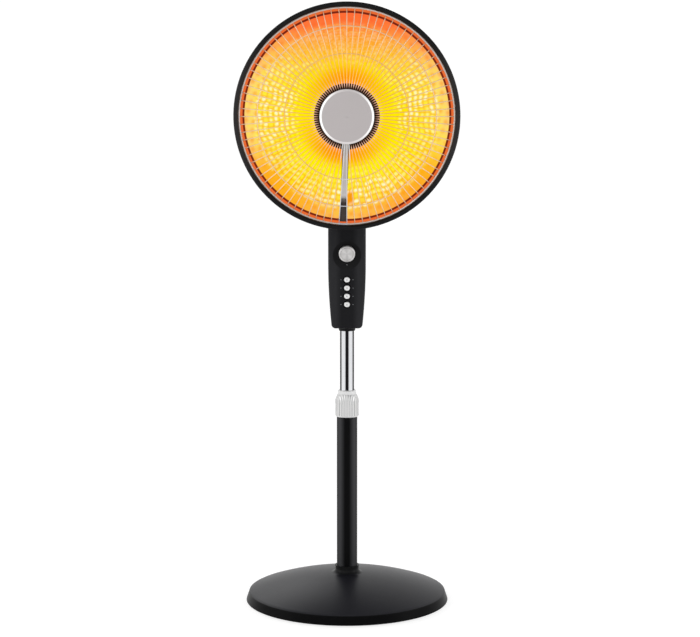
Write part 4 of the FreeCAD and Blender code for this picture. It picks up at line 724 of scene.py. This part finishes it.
class HEATER_OT_metals(bpy.types.Operator):
    """Finish the plated, spun and zinc parts, with painted reflections, highlights and shade"""
    bl_idname = "heater.metals"
    bl_label = "Metal parts"

    def knob(self, tones):
        """Lathe-turned metal: painted light and dark fans of reflection round the middle, and fine rings."""
        knob, centre = Finish("spun_knob", tones.silver, metallic=0.7, roughness=0.38), middle("timer_knob")
        flat = knob.place((-centre[0], centre[2], -centre[1]), (math.pi / 2, 0, 0))
        # Painted fans of reflection.
        knob.blend(knob.gradient("RADIAL", flat), [(turn, [part * light for part in tones.silver])
                                                   for turn, light in PAINTED_FANS])
        wave = knob.nodes.new("ShaderNodeTexWave")
        wave.wave_type = "RINGS"
        wave.rings_direction = "Z"
        wave.inputs["Scale"].default_value = KNOB_RINGS
        wave.inputs["Distortion"].default_value = RING_WOBBLE
        knob.links.new(flat, wave.inputs["Vector"])
        knob.emboss(wave.outputs["Fac"], RING_STRENGTH, RING_DEPTH)
        return knob.material

    def cap(self, tones):
        """Brushed metal with a painted highlight on its bevel, brightest at its sides: the colour goes by the distance
        from the cap's axis.
        """
        cap = Finish("brushed_cap", tones.cap, metallic=0.45)
        edge, radius = cap.inward("guard_cap"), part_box("guard_cap")[1][0]
        inner, outer = 0.085, 0.07
        # Painted highlight on the bevel: soft all round, bright at the sides.
        cap.blend(edge, [(0.0, tones.soft_bevel), (outer, tones.soft_bevel), (inner, tones.cap), (1.0, tones.cap)])
        side = cap.step(cap.reckon("ABSOLUTE", cap.level()["X"]), 0.4 * radius, 0.8 * radius)
        cap.mix_in(cap.reckon("MULTIPLY", side, cap.step(edge, inner, outer)), tones.bevel)
        return cap.grain("brushed")

    def tube(self, tones):
        """Chrome with painted reflections: dark streaks in its middle and near its sides."""
        bright, dark = tones.chrome, tones.dark_reflection
        tube = Finish("chrome_tube", bright, metallic=1.0)
        # Painted reflections: dark streaks and bright ones.
        tube.streak(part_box("inner_tube"), [(0.0, dark), (0.17, dark), (0.3, bright), (0.7, bright), (0.82, dark),
                                           (0.982, dark), (0.996, bright)])
        return tube.grain("chrome")

    def wires(self, tones, strut_lean):
        """Plated wire with painted light that stands for the light behind it: the colour goes by the distance from the
        guard's axis.
        """
        wire = Finish("plated_wire", tones.bright, metallic=0.6)
        # Painted light over the dish, rosy over the shield, and painted shade at the cap's edge.
        wire.blend(wire.inward("guard"), [(0.0, tones.rim_wire), (0.018, tones.rim_wire), (0.026, tones.bright),
                                          (0.15, tones.bright), (0.55, tones.warm), (0.66, tones.warm),
                                          (0.69, tones.rose), (0.71, tones.rose), (0.742, tones.dusk),
                                          (1.0, tones.dusk)])
        # The wires along the strut get a pale painted reflection: those near the strut's own leaning line, below the
        # dish's middle.
        pivot = middle("guard")[2]
        away = wire.level((0, -strut_lean, 0), (math.sin(strut_lean) * pivot, 0, -math.cos(strut_lean) * pivot))
        near = wire.step(wire.reckon("ABSOLUTE", away["X"]), 8 * MM, 7 * MM)
        below = wire.step(away["Z"], -34 * MM, -36 * MM)
        wire.mix_in(wire.reckon("MULTIPLY", near, below), tones.pale_wire)
        return wire.grain("plated")

    def strut(self, tones):
        """The strip darkens towards its end, and the open strut, dark with painted shade, goes on from there with its
        sleeves.
        """
        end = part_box("strut_cover")[0][2]
        strip = Finish("drawn_strip", tones.strip, metallic=0.3)
        near = strip.step(strip.level()["Z"], end, end + tones.strip_fade)
        strip.blend(near, [(0.0, tones.strip_end), (1.0, tones.strip)])
        dress(strip.grain("strip"), "strut_cover")
        # The strut's dark tone is painted shade.
        open_parts = ((Finish("shaded_strut", tones.strut, metallic=0.2), tones.strut, "strut", "element_strut"),
                      (Finish("sleeve", tones.sleeve), tones.sleeve, "rubber", "element_leads"))
        for part, tone, kind, node in open_parts:
            near = part.step(part.level()["Z"], end - tones.strut_fade, end)
            part.blend(near, [(0.0, tone), (0.9, tones.strip_end), (0.97, tones.strip_end), (1.0, tone)])
            dress(part.grain(kind), node)

    def execute(self, context):
        tones = context.scene.heater_finish
        dress(self.knob(tones), "timer_knob")
        dress(self.cap(tones), "guard_cap")
        dress(self.tube(tones), "inner_tube")
        dress(self.wires(tones, context.scene.heater_dish.strut_lean), "guard")
        dress(Finish("zinc_plate", tones.zinc, metallic=1.0).grain("zinc"), "base_screws", "pole_plug", "pole_washer",
              "pole_bolt", "control_screws", "swing_motor", "timer_shaft", "swing_arm", "tilt_bolt", "tilt_washers",
              "bracket_rivets", "thermal_cutout", "cap_backplate", "cap_screw", "element_bolt")
        self.strut(tones)
        # The shield's dark tone is painted shade.
        dress(Finish("shaded_shield", tones.shield_shade, gloss=0.05).grain("shield_grain"), "element_shield")
        return {"FINISHED"}


class HEATER_OT_plastics(bpy.types.Operator):
    """Finish the ribbed collar with painted shade between its ribs, the silver buttons and the pale inner plastic"""
    bl_idname = "heater.plastics"
    bl_label = "Pale plastics"

    def collar(self, tones):
        """Silver plastic with upright ribs, with painted shade between them, and a plain ring at its foot and its head.
        """
        collar, (low, high) = Finish("silver_collar", tones.collar, metallic=0.35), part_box("lock_collar")
        # Painted shade in the grooves between the ribs.
        collar.blend(collar.turned(COLLAR_RIBS), [(0.0, tones.groove), (0.14, tones.groove), (0.32, tones.collar),
                                                  (0.68, tones.collar), (0.86, tones.groove), (1.0, tones.groove)])
        height = collar.level()["Z"]
        edges = ((low[2] + tones.ring_foot, -tones.ring_edge), (high[2] - tones.ring_head, tones.ring_edge))
        for edge, beyond in edges:
            collar.mix_in(collar.step(height, edge, edge + beyond), tones.ring)
        return collar.grain("collar")

    def execute(self, context):
        tones = context.scene.heater_finish
        dress(self.collar(tones), "lock_collar")
        silver = Finish("silver_button", tones.button, metallic=0.3).grain("button")
        dress(silver, *[f"push_button_{index}" for index in BUTTONS])
        dress(Finish("natural_plastic", tones.pale).grain("natural"), "timer", "button_switch", "tip_switch",
              "swivel_bearing", "swing_crank", "terminal_block", "pole_bush", "tube_glide")
        return {"FINISHED"}


class HEATER_OT_element(bpy.types.Operator):
    """Finish the ceramic core and light the coil"""
    bl_idname = "heater.element"
    bl_label = "Heating element"

    def execute(self, context):
        tones = context.scene.heater_finish
        dress(Finish("fired_ceramic", tones.ceramic).grain("fired"), "ceramic_core")
        coil = Finish("glowing_coil", tones.glow_wire)
        coil.lit((*tones.glow_wire, 1), tones.glow_strength)
        dress(coil.grain("coil"), "heating_coil")
        return {"FINISHED"}


class HEATER_OT_stage(bpy.types.Operator):
    """Set the pale floor, the soft lights and the camera"""
    bl_idname = "heater.stage"
    bl_label = "Stage"

    def floor(self, scene, stage):
        """A round sheet that turns up all round in a quarter circle to a backdrop."""
        half, bend = stage.floor_size / 2, stage.floor_size / 6
        quarter = np.linspace(0, math.pi / 2, BEND_STEPS)
        run = np.concatenate([[0.1 * half, half / 3], half - bend + bend * np.sin(quarter), [half]])[:, None]
        rise = np.concatenate([[0, 0], bend * (1 - np.cos(quarter)), [half]])[:, None]
        angle = np.linspace(0, 2 * math.pi, FLOOR_SECTORS, endpoint=False)
        points = np.stack([run * np.sin(angle), run * np.cos(angle), rise + 0 * angle], axis=-1)
        mesh = ring_mesh("studio_floor", points, (0, 0, 0))
        mesh.shade_smooth()
        paper = Finish("studio_paper", stage.floor)
        paper.lit(WHITE, stage.floor_lift)
        mesh.materials.append(paper.grain("paper"))
        floor = bpy.data.objects.new("studio_floor", mesh)
        scene.collection.objects.link(floor)

    def lights(self, scene, stage):
        """Even light all round, and soft lights turned towards one point."""
        world = bpy.data.worlds.new("studio_light")
        world.use_nodes = True
        world.node_tree.nodes["Background"].inputs["Color"].default_value = WHITE
        world.node_tree.nodes["Background"].inputs["Strength"].default_value = stage.sky
        scene.world = world
        for name, spot, size in LIGHTS:
            light = bpy.data.lights.new(f"{name}_light", "AREA")
            light.energy, light.size = stage.key_power if name == "key" else stage.fill_power, size
            lamp = bpy.data.objects.new(f"{name}_light", light)
            lamp.location = spot
            aim = np.array(LIGHT_AIM) - np.array(spot)
            across = math.hypot(aim[0], aim[1])
            lamp.rotation_euler = (math.atan2(across, -aim[2]), 0, math.atan2(aim[1], aim[0]) - math.pi / 2)
            scene.collection.objects.link(lamp)

    def camera(self, scene, stage):
        """A camera in front of the pole that looks down a little."""
        camera = bpy.data.cameras.new("photo_camera")
        camera.sensor_width, camera.lens = SENSOR_WIDTH, stage.focal
        eye = bpy.data.objects.new("photo_camera", camera)
        eye.location = (stage.camera_side, -stage.camera_back, stage.camera_height)
        eye.rotation_euler = (math.pi / 2 - stage.camera_tilt, 0, 0)
        scene.collection.objects.link(eye)
        scene.camera = eye
        scene.view_settings.view_transform = "Standard"

    def execute(self, context):
        scene, stage = context.scene, context.scene.heater_stage
        self.floor(scene, stage)
        self.lights(scene, stage)
        self.camera(scene, stage)
        return {"FINISHED"}


OPERATORS = (HEATER_OT_reflector, HEATER_OT_marks, HEATER_OT_blacks, HEATER_OT_metals, HEATER_OT_plastics,
             HEATER_OT_element, HEATER_OT_stage)
SETTINGS = {"heater_dish": HeaterDishSettings, "heater_finish": HeaterFinishSettings,
            "heater_marks": HeaterMarkSettings, "heater_stage": HeaterStageSettings}


class HEATER_PT_panel(bpy.types.Panel):
    """Lists the heater's pieces"""
    bl_label = "Heater"
    bl_idname = "HEATER_PT_panel"
    bl_space_type = "VIEW_3D"
    bl_region_type = "UI"
    bl_category = "Heater"

    def draw(self, context):
        for operator in OPERATORS:
            self.layout.operator(operator.bl_idname)


CLASSES = (*SETTINGS.values(), *OPERATORS, HEATER_PT_panel)


def register():
    for entry in CLASSES:
        bpy.utils.register_class(entry)
    for name, group in SETTINGS.items():
        setattr(bpy.types.Scene, name, bpy.props.PointerProperty(type=group))


def unregister():
    for name in SETTINGS:
        delattr(bpy.types.Scene, name)
    for entry in reversed(CLASSES):
        bpy.utils.unregister_class(entry)


def main():
    register()
    bpy.ops.heater.reflector()
    bpy.ops.heater.marks()
    bpy.ops.heater.blacks()
    bpy.ops.heater.metals()
    bpy.ops.heater.plastics()
    bpy.ops.heater.element()
    bpy.ops.heater.stage()


if __name__ == "__main__":
    main()
